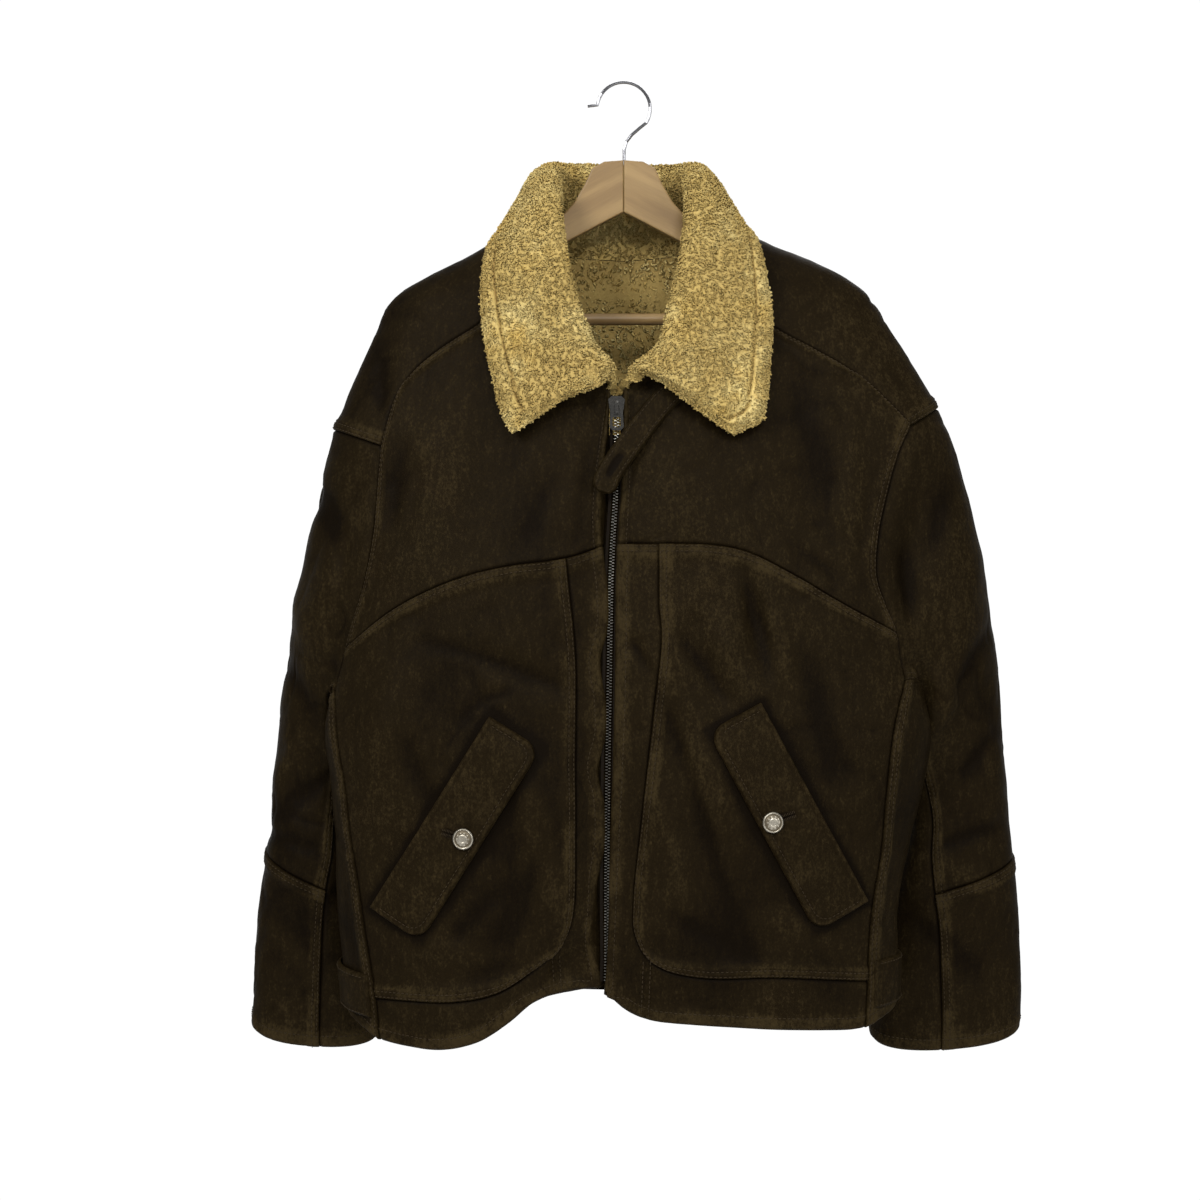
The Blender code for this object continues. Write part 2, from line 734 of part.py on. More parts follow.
def sleeve_rings(side, ring):
    """The sleeve's outer surface as rings of points, the first on the armhole."""
    rows = SLEEVE[side]
    armhole = body_surface(ring[:, 0], ring[:, 1])
    count = len(ring)
    knots = np.arange(len(rows["half"]), dtype=float)
    upper = np.linspace(0, ELBOW_RING, CELLS["sleeve"] + 1)
    lower = np.linspace(ELBOW_RING, knots[-1], CELLS["elbow"] + 1)[1:]
    at = np.concatenate([upper, lower])
    row = {name: smooth(knots, values, at)[:, None] for name, values in rows.items()}
    start = np.array([rows["outer_x"][0] + rows["inner_x"][0], rows["outer_z"][0] + rows["inner_z"][0]])
    reach = np.array([rows["outer_x"][0] - rows["inner_x"][0], rows["outer_z"][0] - rows["inner_z"][0]])
    along = (armhole[:, [0, 2]] - start / 2) @ reach / (reach @ reach / 2)
    forward = (rows["middle"][0] - armhole[:, 1]) / rows["half"][0]
    first = np.unwrap(np.arctan2(forward, along))
    first = first - 2 * np.pi * np.round(first[0] / (2 * np.pi))
    seam_front = CELLS["over"] // 2 + CELLS["chest"] + CELLS["armpit"]
    seam_back = seam_front + CELLS["underarm"]
    cuff_seam = np.radians(UNDER_SEAM_AT_CUFF)
    last = np.interp(
        np.arange(count),
        (0, seam_front, seam_back, count),
        (0.0, cuff_seam, 2 * np.pi - cuff_seam, 2 * np.pi),
    )
    share = (at / knots[-1])[:, None]
    turn = (1 - ease(share)) * first + ease(share) * last
    across = np.sign(np.cos(turn)) * np.abs(np.cos(turn)) ** SLEEVE_SQUARE
    deep = np.sign(np.sin(turn)) * np.abs(np.sin(turn)) ** SLEEVE_SQUARE
    x = (row["outer_x"] + row["inner_x"]) / 2 + (row["outer_x"] - row["inner_x"]) / 2 * across
    z = (row["outer_z"] + row["inner_z"]) / 2 + (row["outer_z"] - row["inner_z"]) / 2 * across
    z = z - row["drop"] * deep
    y = row["middle"] - row["half"] * deep
    rings = np.stack([x, y, z], axis=-1)
    rings = rings + (armhole - rings[0]) * ((1 - np.clip(share / 0.35, 0, 1)) ** 2)[..., None]
    outward = ring_normals(rings)
    degrees = np.degrees(turn)
    for along_at, around, spread_along, spread, depth in zip(*SLEEVE_FOLDS[side].values()):
        near = np.exp(-(((share - along_at) / spread_along) ** 2))
        near = near * np.exp(-(((degrees - around) / spread) ** 2))
        rings = rings + (depth * near * ease(share / 0.06))[..., None] * outward
    return rings


def ring_normals(rings):
    """Outward directions of a tube made of rings."""
    closed = np.concatenate([rings[:, -1:], rings, rings[:, :1]], axis=1)
    around = closed[:, 2:] - closed[:, :-2]
    down = np.gradient(rings, axis=0)
    normals = unit(np.cross(around, down))
    from_middle = rings - rings.mean(axis=1, keepdims=True)
    if (normals * from_middle).sum() < 0:
        normals = -normals
    return normals


def draw_in(grid, amount=SEAM_GAP / 2):
    """The grid with its border moved inwards, which leaves the seam's gap to its neighbours."""
    drawn = grid.copy()
    drawn[0] += square_to(grid[1] - grid[0], grid[0]) * amount
    drawn[-1] += square_to(grid[-2] - grid[-1], grid[-1]) * amount
    drawn[:, 0] += square_to(grid[:, 1] - grid[:, 0], grid[:, 0]) * amount
    drawn[:, -1] += square_to(grid[:, -2] - grid[:, -1], grid[:, -1]) * amount
    return drawn


def square_to(inwards, edge):
    """The part of a direction that stands square to the edge it starts from."""
    along = unit(np.gradient(edge, axis=0))
    return unit(inwards - (inwards * along).sum(axis=-1, keepdims=True) * along)


def wall(name, outer, inner, kind, collection, drawn=SEAM_GAP / 2):
    """A closed wall between two grids, drawn in from its seams.

    Its edge faces split the same way on both sides of a seam."""
    rows, columns = outer.shape[:2]
    key = outer.reshape(-1, 3) @ np.array([1.0, 2.0, 3.0])
    sides = [draw_in(outer, drawn), draw_in(inner, drawn)]
    points = np.concatenate([side.reshape(-1, 3) for side in sides])
    index = np.arange(rows * columns).reshape(rows, columns)
    quads = np.stack([index[:-1, :-1], index[:-1, 1:], index[1:, 1:], index[1:, :-1]], axis=-1)
    faces = [tuple(quad) for quad in quads.reshape(-1, 4)]
    faces += [tuple(quad[::-1] + rows * columns) for quad in quads.reshape(-1, 4)]
    border = np.concatenate(
        [index[0, :-1], index[:-1, -1], index[-1, :0:-1], index[:0:-1, 0]]
    )
    for here, there in zip(border, np.roll(border, -1)):
        below_here = here + rows * columns
        below_there = there + rows * columns
        if key[here] > key[there]:
            faces += [(there, here, below_there), (here, below_here, below_there)]
        else:
            faces += [(there, here, below_here), (there, below_here, below_there)]
    return add_mesh(name, points, faces, kind, collection)


def arm_directions(ring, rings):
    """Wall directions along the armhole: shared where sleeve and body run on, else each its own."""
    of_body = body_normal(ring[:, 0], ring[:, 1])
    of_sleeve = ring_normals(rings)[0]
    together = (of_body * of_sleeve).sum(axis=1) > ARMHOLE_FOLDED
    shared = unit(of_body + of_sleeve)
    return (
        np.where(together[:, None], shared, of_body),
        np.where(together[:, None], shared, of_sleeve),
    )


def body_panel(name, places, armhole, collection):
    """A body panel as a wall that follows the surface."""
    outer = body_surface(places[..., 0], places[..., 1])
    normals = body_normal(places[..., 0], places[..., 1])
    for points, directions in armhole:
        apart = np.linalg.norm(outer[:, :, None] - points, axis=-1)
        nearest = apart.argmin(axis=-1)
        meets = apart.min(axis=-1) < SAME_PLACE
        normals[meets] = directions[nearest[meets]]
    inner = outer - WALL * normals
    wall(name, outer, inner, "leather", collection)


def add_body(collection):
    """Every panel of the body and both sleeves."""
    seams = {side: seams_of(side) for side in ("left", "right")}
    armholes = {}
    for side in ("left", "right"):
        ring = armhole_ring(seams[side])
        rings = sleeve_rings(side, ring)
        of_body, of_sleeve = arm_directions(ring, rings)
        armholes[side] = (body_surface(ring[:, 0], ring[:, 1]), of_body)
        add_sleeve(side, rings, of_sleeve, collection)
        for piece, places in panels_of(side, seams[side]).items():
            body_panel(f"{piece}_{side}", places, [armholes[side]], collection)
    back = back_panel(seams["left"], seams["right"])
    body_panel("back", back, list(armholes.values()), collection)
    return seams


def add_sleeve(side, rings, first_normals, collection):
    """The outer upper sleeve, the outer forearm and the under-sleeve of one side."""
    normals = ring_normals(rings)
    normals[0] = first_normals
    count = rings.shape[1]
    seam_front = CELLS["over"] // 2 + CELLS["chest"] + CELLS["armpit"]
    seam_back = seam_front + CELLS["underarm"]
    column = np.arange(count)
    near_seam = np.exp(-(((column - seam_front) / 2.0) ** 2))
    near_seam = near_seam + np.exp(-(((column - seam_back) / 2.0) ** 2))
    high = 1 - ease(np.linspace(0, 1, len(rings)) / ARMPIT_REACH)
    thick = WALL * (1 - ARMPIT_THIN * high[:, None] * near_seam)
    inner = rings - thick[..., None] * normals
    outside = np.arange(seam_back - count, seam_front + 1)
    beneath = np.arange(seam_front, seam_back + 1)
    elbow = CELLS["sleeve"]
    pieces = (
        ("sleeve_top", slice(0, elbow + 1), outside),
        ("sleeve_forearm", slice(elbow, None), outside),
        ("sleeve_under", slice(0, None), beneath),
    )
    for piece, down, around in pieces:
        outer_part = rings[down][:, around]
        inner_part = inner[down][:, around]
        wall(f"{piece}_{side}", outer_part, inner_part, "leather", collection, SLEEVE_GAP / 2)


def collar_stations(side, seams):
    """Points of the collar's wool side at each station of one half, and the wall there."""
    neck = join(seams["neck_front"], seams["neck_side"], seams["neck_back"])
    points = body_surface(neck[:, 0], neck[:, 1])
    length = np.concatenate([[0.0], np.cumsum(np.linalg.norm(np.diff(points, axis=0), axis=1))])
    station = length / length[-1]
    outward = body_normal(neck[:, 0], neck[:, 1])
    row = {name: smooth(COLLAR["along"], values, station) for name, values in COLLAR.items()}
    roll = np.stack([row["roll_" + side], row["roll_y"], row["roll_z"]], axis=-1)
    fronts = place_on(COLLAR[side + "_x"], COLLAR[side + "_z"], 1)
    backs = place_on(COLLAR[side + "_x"], COLLAR[side + "_z"], -1)
    sign = np.sign(fronts[0, 0])
    backs[-1, 0] = sign * np.pi
    edges = np.where((COLLAR["face"] > 0)[:, None], fronts, backs)
    edge_angle = smooth(COLLAR["along"], edges[:, 0], station)
    edge_height = smooth(COLLAR["along"], edges[:, 1], station)
    edge_normal = body_normal(edge_angle, edge_height, detail=False)
    laid = body_surface(edge_angle, edge_height, detail=False)
    edge = laid + (COLLAR_WALL + row["lift"][:, None]) * edge_normal
    foot = points - WALL * outward
    rise = unit(roll - foot)
    inwards = rise - (rise * outward).sum(axis=1, keepdims=True) * outward
    foot = foot + NECK_GAP * unit(inwards)
    away = edge - roll
    across = unit(away - (away * rise).sum(axis=1, keepdims=True) * rise)
    crest = roll + COLLAR_FOLD * (rise + across)
    reach = np.linalg.norm(edge - crest, axis=1)[:, None]
    lie = away - (away * edge_normal).sum(axis=1, keepdims=True) * edge_normal
    lie = unit(lie)
    profile = [foot + (roll - foot) * part for part in np.linspace(0, 1, STAND_CELLS + 1)]
    for part in np.linspace(0, 1, FOLD_CELLS + 1)[1:]:
        turn = part * np.pi / 2
        profile.append(roll + COLLAR_FOLD * (np.sin(turn) * rise + (1 - np.cos(turn)) * across))
    leave = crest + FALL_LEAVES * reach * across
    arrive = edge - FALL_ARRIVES * reach * lie
    for part in np.linspace(0, 1, FALL_CELLS + 1)[1:]:
        rest = 1 - part
        profile.append(
            rest**3 * crest + 3 * rest**2 * part * leave
            + 3 * rest * part**2 * arrive + part**3 * edge
        )
    return np.stack(profile, axis=1), outward


def add_collar(seams, collection):
    """The collar: one wall from the neckline up the stand, over the roll and down the fall."""
    left, left_out = collar_stations("left", seams["left"])
    right, right_out = collar_stations("right", seams["right"])
    wool = np.concatenate([left, right[-2::-1]])
    foot_out = np.concatenate([left_out, right_out[-2::-1]])
    along = np.gradient(wool, axis=0)
    up = np.gradient(wool, axis=1)
    normals = unit(np.cross(up, along))
    middle = len(left) - 1
    if normals[middle, 0, 1] > 0:
        normals = -normals
    risen = np.linalg.norm(wool - wool[:, :1], axis=-1)
    share = ease(risen / COLLAR_STAND_IN)
    share[:, STAND_CELLS:] = 1.0
    thick = (WALL + (COLLAR_WALL - WALL) * share)[..., None]
    share = share[..., None]
    skin = wool + thick * unit((1 - share) * foot_out[:, None] - share * normals)
    wall("collar", wool, skin, "fleece", collection)


def laid_wall(name, angle, height, thick, kind, collection, detail=True, gap=LAID_GAP):
    """A piece that lies on the body: the same places, moved out."""
    base = body_surface(angle, height, detail)
    normals = body_normal(angle, height, detail)
    wall(name, base + (gap + thick) * normals, base + gap * normals, kind, collection)


def rounded_half(distance, half, radius):
    """Half-length of a shape with round corners, at a distance in from its end edge."""
    inside = np.clip(radius - distance, 0.0, radius)
    return half - radius + np.sqrt(radius**2 - inside**2)


def flap_places(side, lengthwise, crosswise):
    """Front-view places on a flap, from -1 to 1 along it and 0 to 1 from its sewn edge."""
    start = np.array(FLAPS[side]["start"], float)
    end = np.array(FLAPS[side]["end"], float)
    along = unit(end - start)
    across = np.array([along[1], -along[0]]) * (1 if side == "left" else -1)
    half = rounded_half((1 - crosswise) * FLAP_WIDTH, FLAP_LENGTH / 2, FLAP_CORNER)
    middle = (start + end) / 2
    place = middle + (lengthwise * half)[..., None] * along
    return place + (crosswise * FLAP_WIDTH)[..., None] * across


def add_flaps(collection):
    """Pocket flaps, each with a button whose foot stands on it."""
    lengthwise, crosswise = np.meshgrid(
        np.linspace(-1, 1, 11), np.array([0.0, 0.3, 0.6, 0.78, 0.9, 0.97, 1.0])
    )
    for side in ("left", "right"):
        places = flap_places(side, lengthwise, crosswise)
        on_body = place_on(places[..., 0], places[..., 1])
        laid_wall(
            f"pocket_flap_{side}", on_body[..., 0], on_body[..., 1], FLAP_THICK, "leather", collection
        )
        add_button(side, collection)


def add_button(side, collection):
    """A domed button, turned about its own axis and set square on the flap."""
    mesh = bpy.data.meshes.new(f"button_{side}")
    points = [(radius * MM, 0.0, height * MM) for radius, height in zip(*BUTTON.values())]
    mesh.from_pydata(points, [(i, i + 1) for i in range(len(points) - 1)], [])
    button = add_object(f"button_{side}", mesh, "steel", collection)
    turn = button.modifiers.new("Turn", "SCREW")
    turn.steps = ROUND_SIDES
    turn.render_steps = ROUND_SIDES
    turn.use_merge_vertices = True
    turn.merge_threshold = 0.00001
    x, z = FLAPS[side]["button"]
    angle, height = place_on(x, z)
    base = body_surface(angle, height)
    normal = body_normal(angle, height)
    seat = base + (LAID_GAP + FLAP_THICK + BUTTON_CLEAR) * normal
    button.location = Vector(seat * MM)
    button.rotation_mode = "QUATERNION"
    button.rotation_quaternion = Vector(normal).to_track_quat("Z", "Y")


def add_tabs(seams, collection):
    """Waist tabs that lie round the side panels."""
    for side in ("left", "right"):
        seam_angle = seams[side]["side_end"][0, 0]
        start = seam_angle + np.sign(seam_angle) * np.radians(TAB_START)
        end = np.sign(start) * np.radians(TAB_END)
        part, down = np.meshgrid(np.linspace(0, 1, 13), np.linspace(0, 1, 4))
        angle = start + (end - start) * part
        upper = TABS[side]["upper"][0] + (TABS[side]["upper"][1] - TABS[side]["upper"][0]) * part
        lower = TABS[side]["lower"][0] + (TABS[side]["lower"][1] - TABS[side]["lower"][0]) * part
        height = upper + (lower - upper) * down
        laid_wall(f"side_tab_{side}", angle, height, TAB_THICK, "leather", collection)


def add_strap(collection):
    """The throat strap, which crosses the zip and ends round."""
    points = np.stack([STRAP["x"], STRAP["z"]], axis=-1)
    line = curve_through(points, 0, len(points) - 1, 2)
    along = unit(np.gradient(line, axis=0))
    across = np.stack([along[:, 1], -along[:, 0]], axis=-1)
    run = np.linalg.norm(line - line[-1], axis=1)
    half = rounded_half(run, STRAP_WIDTH / 2, STRAP_WIDTH / 2 - 0.5)
    wide = np.linspace(-1, 1, 5)
    places = line[:, None] + (half[:, None] * wide)[..., None] * across[:, None]
    on_body = place_on(places[..., 0], places[..., 1])
    laid_wall(
        "throat_strap", on_body[..., 0], on_body[..., 1], STRAP_THICK, "leather", collection,
        detail=False, gap=STRAP_GAP,
    )


def zip_strip(name, inner_edge, outer_edge, sunk, thick, kind, collection):
    """A strip along the zip between two distances from its line, sunk below the leather."""
    height, side = np.meshgrid(np.linspace(ZIP_TOP, ZIP_END, ZIP_CELLS + 1), [inner_edge, outer_edge], indexing="ij")
    places = place_on(zip_x(height) + side, height)
    base = body_surface(places[..., 0], places[..., 1])
    normals = body_normal(places[..., 0], places[..., 1])
    wall(name, base - sunk * normals, base - (sunk + thick) * normals, kind, collection)


def add_zip(collection):
    """Tapes, closed teeth, slider and pull."""
    tape_in = ZIP_HALF + SEAM_GAP
    tape_out = tape_in + TAPE_WIDTH
    zip_strip("zip_chain", -ZIP_HALF, ZIP_HALF, ZIP_SUNK, ZIP_THICK, "steel", collection)
    zip_strip("zip_tape_left", -tape_out, -tape_in, 2 * ZIP_SUNK, TAPE_THICK, "tape", collection)
    zip_strip("zip_tape_right", tape_in, tape_out, 2 * ZIP_SUNK, TAPE_THICK, "tape", collection)


def add_hanger(collection):
    """Two flat arms that meet at the middle, and the bar let into their ends."""
    for side, sign in (("left", -1), ("right", 1)):
        outline = [(max(x, HANGER_SPLIT / 2) * sign, z) for x, z in zip(ARM["x"], ARM["z"])]
        shape = bpy.data.curves.new(f"hanger_arm_{side}", "CURVE")
        shape.dimensions = "2D"
        shape.fill_mode = "BOTH"
        line = shape.splines.new("POLY")
        line.points.add(len(outline) - 1)
        for point, (x, z) in zip(line.points, outline):
            point.co = (x * MM, z * MM, 0.0, 1.0)
        line.use_cyclic_u = True
        shape.extrude = (HANGER_THICK / 2 - HANGER_EDGE) * MM
        shape.bevel_depth = HANGER_EDGE * MM
        shape.bevel_resolution = 1
        shape.offset = -HANGER_EDGE * MM
        arm = add_object(f"hanger_arm_{side}", shape, "beech", collection)
        arm.rotation_euler = (np.pi / 2, 0.0, 0.0)
    end = ARM["x"][ARM_NOTCH] - SEAM_GAP
    bpy.ops.mesh.primitive_cylinder_add(
        vertices=ROUND_SIDES, radius=BAR_RADIUS * MM, depth=2 * end * MM, location=(0, 0, BAR_HEIGHT * MM),
        rotation=(0, np.pi / 2, 0),
    )
    bar = bpy.context.active_object
    bar.name = "hanger_bar"
    bar.data.materials.append(material_for("hanger_bar", "beech"))
    bpy.context.collection.objects.unlink(bar)
    collection.objects.link(bar)


def add_hook(collection):
    """The wire hook: an open circle, a bend and a straight shank that stands on the crown."""
    centre = HOOK_WIRE - HOOK_RADIUS
    turn = np.radians(np.linspace(172, -32, 24))
    circle = [(HOOK_RADIUS * np.cos(a), centre + HOOK_RADIUS * np.sin(a)) for a in turn]
    route = [(-33.5, centre + 2.5), (-29.0, centre + 3.0)] + circle
    route += list(zip(*SHANK.values()))
    shape = bpy.data.curves.new("hanger_hook", "CURVE")
    shape.dimensions = "3D"
    line = shape.splines.new("POLY")
    line.points.add(len(route) - 1)
    for point, (x, z) in zip(line.points, route):
        point.co = (x * MM, 0.0, z * MM, 1.0)
    shape.bevel_depth = HOOK_WIRE * MM
    shape.bevel_resolution = 2
    shape.use_fill_caps = True
    add_object("hanger_hook", shape, "chrome", collection)


def flat_shape(name, outlines, thick, hidden):
    """A mesh from flat outlines, the second one a hole, extruded to a thickness."""
    shape = bpy.data.curves.new(name, "CURVE")
    shape.dimensions = "2D"
    shape.fill_mode = "BOTH"
    shape.extrude = thick / 2 * MM
    for outline in outlines:
        line = shape.splines.new("POLY")
        line.points.add(len(outline) - 1)
        for point, (across, up) in zip(line.points, outline):
            point.co = (across * MM, up * MM, 0.0, 1.0)
        line.use_cyclic_u = True
    holder = bpy.data.objects.new(name, shape)
    hidden.objects.link(holder)
    graph = bpy.context.evaluated_depsgraph_get()
    mesh = bpy.data.meshes.new_from_object(holder.evaluated_get(graph))
    welded = bmesh.new()
    welded.from_mesh(mesh)
    bmesh.ops.remove_doubles(welded, verts=welded.verts, dist=0.00001)
    bmesh.ops.recalc_face_normals(welded, faces=welded.faces)
    welded.to_mesh(mesh)
    welded.free()
    bpy.data.objects.remove(holder)
    return mesh


def add_slider(collection, helpers):
    """The slider's body with its bridge, and the pull that hangs from the bridge."""
    angle, height = place_on(zip_x(SLIDER_HEIGHT), SLIDER_HEIGHT)
    base = body_surface(angle, height)
    back = base[1] - LAID_GAP
    front = back - SLIDER_THICK
    outline = list(zip(*SLIDER.values()))
    body = add_object(
        "zip_slider", flat_shape("zip_slider", [outline], SLIDER_THICK, helpers), "steel", collection
    )
    body.rotation_euler = (np.pi / 2, 0.0, 0.0)
    body.location = Vector((base[0], (front + back) / 2, SLIDER_HEIGHT)) * MM
    arch = list(zip(*BRIDGE.values()))
    bridge = bpy.data.objects.new(
        "bridge_joined", flat_shape("bridge_joined", [arch], BRIDGE_WIDTH, helpers)
    )
    helpers.objects.link(bridge)
    bridge.hide_render = True
    bridge.display_type = "WIRE"
    bridge.matrix_world = Matrix.Translation(
        Vector((base[0], front, SLIDER_HEIGHT)) * MM
    ) @ Matrix(((0, 0, 1, 0), (0, 1, 0, 0), (1, 0, 0, 0), (0, 0, 0, 1)))
    joined = body.modifiers.new("Bridge", "BOOLEAN")
    joined.operation = "UNION"
    joined.object = bridge
    pivot = Vector((base[0], front - PULL_THICK / 2 - PULL_CLEAR, SLIDER_HEIGHT + PULL_PIVOT)) * MM
    ring = list(zip(*PULL.values()))
    hole = list(zip(*PULL_OPENING.values()))
    pull = add_object(
        "zip_pull", flat_shape("zip_pull", [ring, hole], PULL_THICK, helpers), "steel", collection
    )
    pull.rotation_euler = (np.pi / 2, 0.0, 0.0)
    pull.location = pivot


clear_scene()
parts = new_collection(JACKET)
joined_shapes = new_collection("Joined shapes", hidden=True)
body_seams = add_body(parts)
add_collar(body_seams, parts)
add_flaps(parts)
add_tabs(body_seams, parts)
add_strap(parts)
add_zip(parts)
add_slider(parts, joined_shapes)
add_hanger(parts)
add_hook(parts)
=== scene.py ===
# A fur-lined leather jacket on its wooden hanger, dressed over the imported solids.
# Left is -X and the front faces -Y, as in the solids.

import bmesh
import bpy
import numpy as np
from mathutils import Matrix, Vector


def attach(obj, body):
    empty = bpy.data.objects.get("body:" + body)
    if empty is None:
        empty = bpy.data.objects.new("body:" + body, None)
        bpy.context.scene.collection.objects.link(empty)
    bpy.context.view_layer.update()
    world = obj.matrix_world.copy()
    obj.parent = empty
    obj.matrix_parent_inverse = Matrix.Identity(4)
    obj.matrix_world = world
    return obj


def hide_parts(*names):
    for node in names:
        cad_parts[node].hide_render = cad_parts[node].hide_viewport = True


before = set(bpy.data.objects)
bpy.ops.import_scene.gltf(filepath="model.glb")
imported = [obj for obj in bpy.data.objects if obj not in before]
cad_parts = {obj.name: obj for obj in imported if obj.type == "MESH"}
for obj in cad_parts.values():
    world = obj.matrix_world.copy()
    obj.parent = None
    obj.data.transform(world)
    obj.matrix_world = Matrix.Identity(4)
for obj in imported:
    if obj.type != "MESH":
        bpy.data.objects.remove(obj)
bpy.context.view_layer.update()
mm = 0.001                # tables and sizes are in millimetres, meshes in metres
print("frame loaded:", len(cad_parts), "nodes")

skin = {
    "wall": 7.0,          # skin and clipped wool together
    "step": 5.2,          # size of a cell in the middle of a panel
    "backStep": 7.0,      # and on the back, which has fewer creases
    "turned": 11.0,       # the leather's turned edge inside a seam or hem
    "wrinkle": 1.25,      # how strong the small creases are
    "seed": 4.0,
}
wool = {
    "wall": 13.0,          # skin and long wool together
    "foldRadius": 16.0,    # of the collar's turn from its stand to its fall
    "standIn": 34.0,       # how far up the stand the wall reaches its full thickness
    "leaves": 0.3,         # how far the fall goes straight on from the fold
    "arrives": 0.3,        # and how far it lies flat before its free edge
    "neckGap": 0.7,
    "tufts": 11000,        # locks on each half of the collar
    "rimTufts": 1100,      # and round each half's free edge
    "tuftRise": 1.35,
    "tuftReach": 1.85,
    "tuftRadius": 1.06,
    "innerTufts": 2300,    # locks inside the back of the neck
    "cells": (8, 10, 36),  # up the collar's stand, over its fold and down its fall
    "rimTurn": 5.2,        # how far the free edge is rounded from both faces
    "pressedAt": 18.0,     # the pressed line's distance from the free edge
}
stitches = {"length": 3.1, "pitch": 4.3, "radius": 0.42, "lift": 0.15}

bodySquare = 0.85         # power that squares off the body's rounds
sleeveSquare = 0.86       # and the sleeves'
zipDip = 16.0             # how far the front sinks in along the zip
zipDipWidth = 34.0
zipHalf = 3.0
seamGap = 0.3
tapeWidth = 2.7
fine = 10                 # places along a seam for each cell of the solids
allBorders = ("top", "bottom", "start", "end")
lineColumns = "face x0 z0 x1 z1 width depth"     # of seams, folds and creases in the front view


# Named columns, each an array, from rows of numbers.
def table(names, rows):
    return dict(zip(names.split(), np.array(rows, float).T))


# The body's cross-sections: half-widths to each side of x = 0, depths before and behind the
# middle line, and where that line lies in Y.
bodyRows = table("height left right front back middle", (
    (-112, 52, 54, 30, 32, 0),
    (-121, 70, 74, 34, 36, 0),
    (-135, 97, 104, 40, 42, 0),
    (-148, 122, 133, 45, 47, 0),
    (-163, 151, 170, 50, 53, 0),
    (-178, 180, 201, 55, 58, 0),
    (-192, 205, 221, 59, 62, 0),
    (-207, 221, 233, 62, 66, 0),
    (-230, 231, 248, 66, 71, 0),
    (-262, 245, 267, 72, 76, -1),
    (-302, 261, 291, 79, 80, -2),
    (-322, 269, 296, 82, 82, -3),
    (-380, 262, 284, 89, 86, -6),
    (-440, 257, 272, 94, 88, -9),
    (-500, 260, 268, 97, 89, -12),
    (-550, 267, 272, 98, 90, -14),
    (-602, 276, 283, 98, 90, -16),
    (-650, 270, 276, 97, 90, -18),
    (-700, 266, 264, 95, 89, -19),
    (-760, 265, 252, 92, 88, -20),
    (-820, 259, 251, 88, 86, -20),
    (-850, 256, 250, 86, 85, -20),
    (-890, 252, 248, 84, 84, -20),
))

# Where the zip runs down the front
zipLine = table("height x", (
    (-280, -7),
    (-385, -8),
    (-435, -11),
    (-569, -14),
    (-840, -17),
))

# The largest folds of the body: a ridge or a valley from one end to the other, as the front view
# shows them. Face 1 is the front and -1 the back. Depth is outwards, so a valley is negative.
largeFolds = table(lineColumns, (
    (1, 33, -560, 88, -800, 13, -6),      # long valley across the right lower front
    (1, 60, -500, 92, -590, 12, -5),
    (1, 112, -465, 122, -540, 13, -6),
    (1, 84, -500, 96, -550, 12, 4),
    (1, -128, -530, -52, -560, 11, -4),   # pull across the left lower front
    (1, -110, -600, -60, -700, 26, 5),
    (1, -118, -300, -125, -430, 26, -4),  # soft hollow down the left chest
    (1, 150, -330, 175, -440, 24, -4),
    (1, -205, -540, -235, -640, 18, 5),
    (1, -62, -845, -40, -775, 24, -20),   # left front corner turned in
    (1, -180, -860, -120, -850, 30, 6),
    (-1, -90, -330, -60, -640, 26, -6),
    (-1, 95, -350, 70, -620, 24, -6),
    (-1, -150, -600, -110, -760, 20, -5),
    (-1, 150, -590, 115, -750, 20, -5),
))

# Seams as the front view shows them. Both sides have a column pair, because they differ a little.
sides = "leftX leftZ rightX rightZ"
neckFront = table(sides, (
    (-13, -292, -1, -292),
    (-24, -268, 18, -268),
    (-42, -236, 38, -236),
    (-56, -208, 53, -206),
    (-66, -184, 64, -182),
))
saddleFront = table(sides, (
    (-66, -184, 64, -182),
    (-100, -207, 100, -207),
    (-136, -232, 138, -234),
    (-166, -251, 172, -252),
    (-191, -272, 208, -273),
    (-209, -300, 237, -297),
    (-220, -340, 261, -321),
))
saddleBack = table(sides, (
    (-66, -152, 64, -150),
    (-118, -192, 118, -188),
    (-172, -244, 184, -234),
    (-220, -340, 261, -321),
))
neckBack = table(sides, (
    (-66, -152, 64, -150),
    (-38, -155, 38, -154),
    (0, -157, 0, -157),
))
armholeTop = {"left": -322, "right": -302}
armhole = table(sides, (
    (-220, -340, 261, -321),
    (-223, -371, 249, -346),
    (-225, -398, 239, -380),
    (-229, -433, 230, -420),
    (-237, -469, 228, -459),
    (-248, -503, 236, -484),
    (-254, -524, 247, -510),
    (-259, -540, 252, -533),
    (-265, -563, 256, -553),
))
armholeYoke = 6
yoke = table(sides, (
    (-18, -432, -4, -430),
    (-53, -443, 31, -430),
    (-105, -450, 78, -431),
    (-140, -458, 109, -437),
    (-177, -472, 154, -459),
    (-212, -491, 192, -481),
    (-254, -524, 247, -510),
))
yokeBand = 1
band = table(sides, (
    (-53, -443, 31, -430),
    (-48, -485, 31, -484),
    (-44, -532, 33, -515),
    (-44, -620, 26, -580),
    (-44, -704, 15, -677),
    (-45, -749, 8, -747),
    (-50, -775, 9, -777),
    (-62, -794, 20, -797),
    (-87, -814, 36, -809),
    (-115, -831, 76, -817),
    (-152, -839, 132, -817),
    (-226, -840, 221, -824),
))
bandCorner = 7
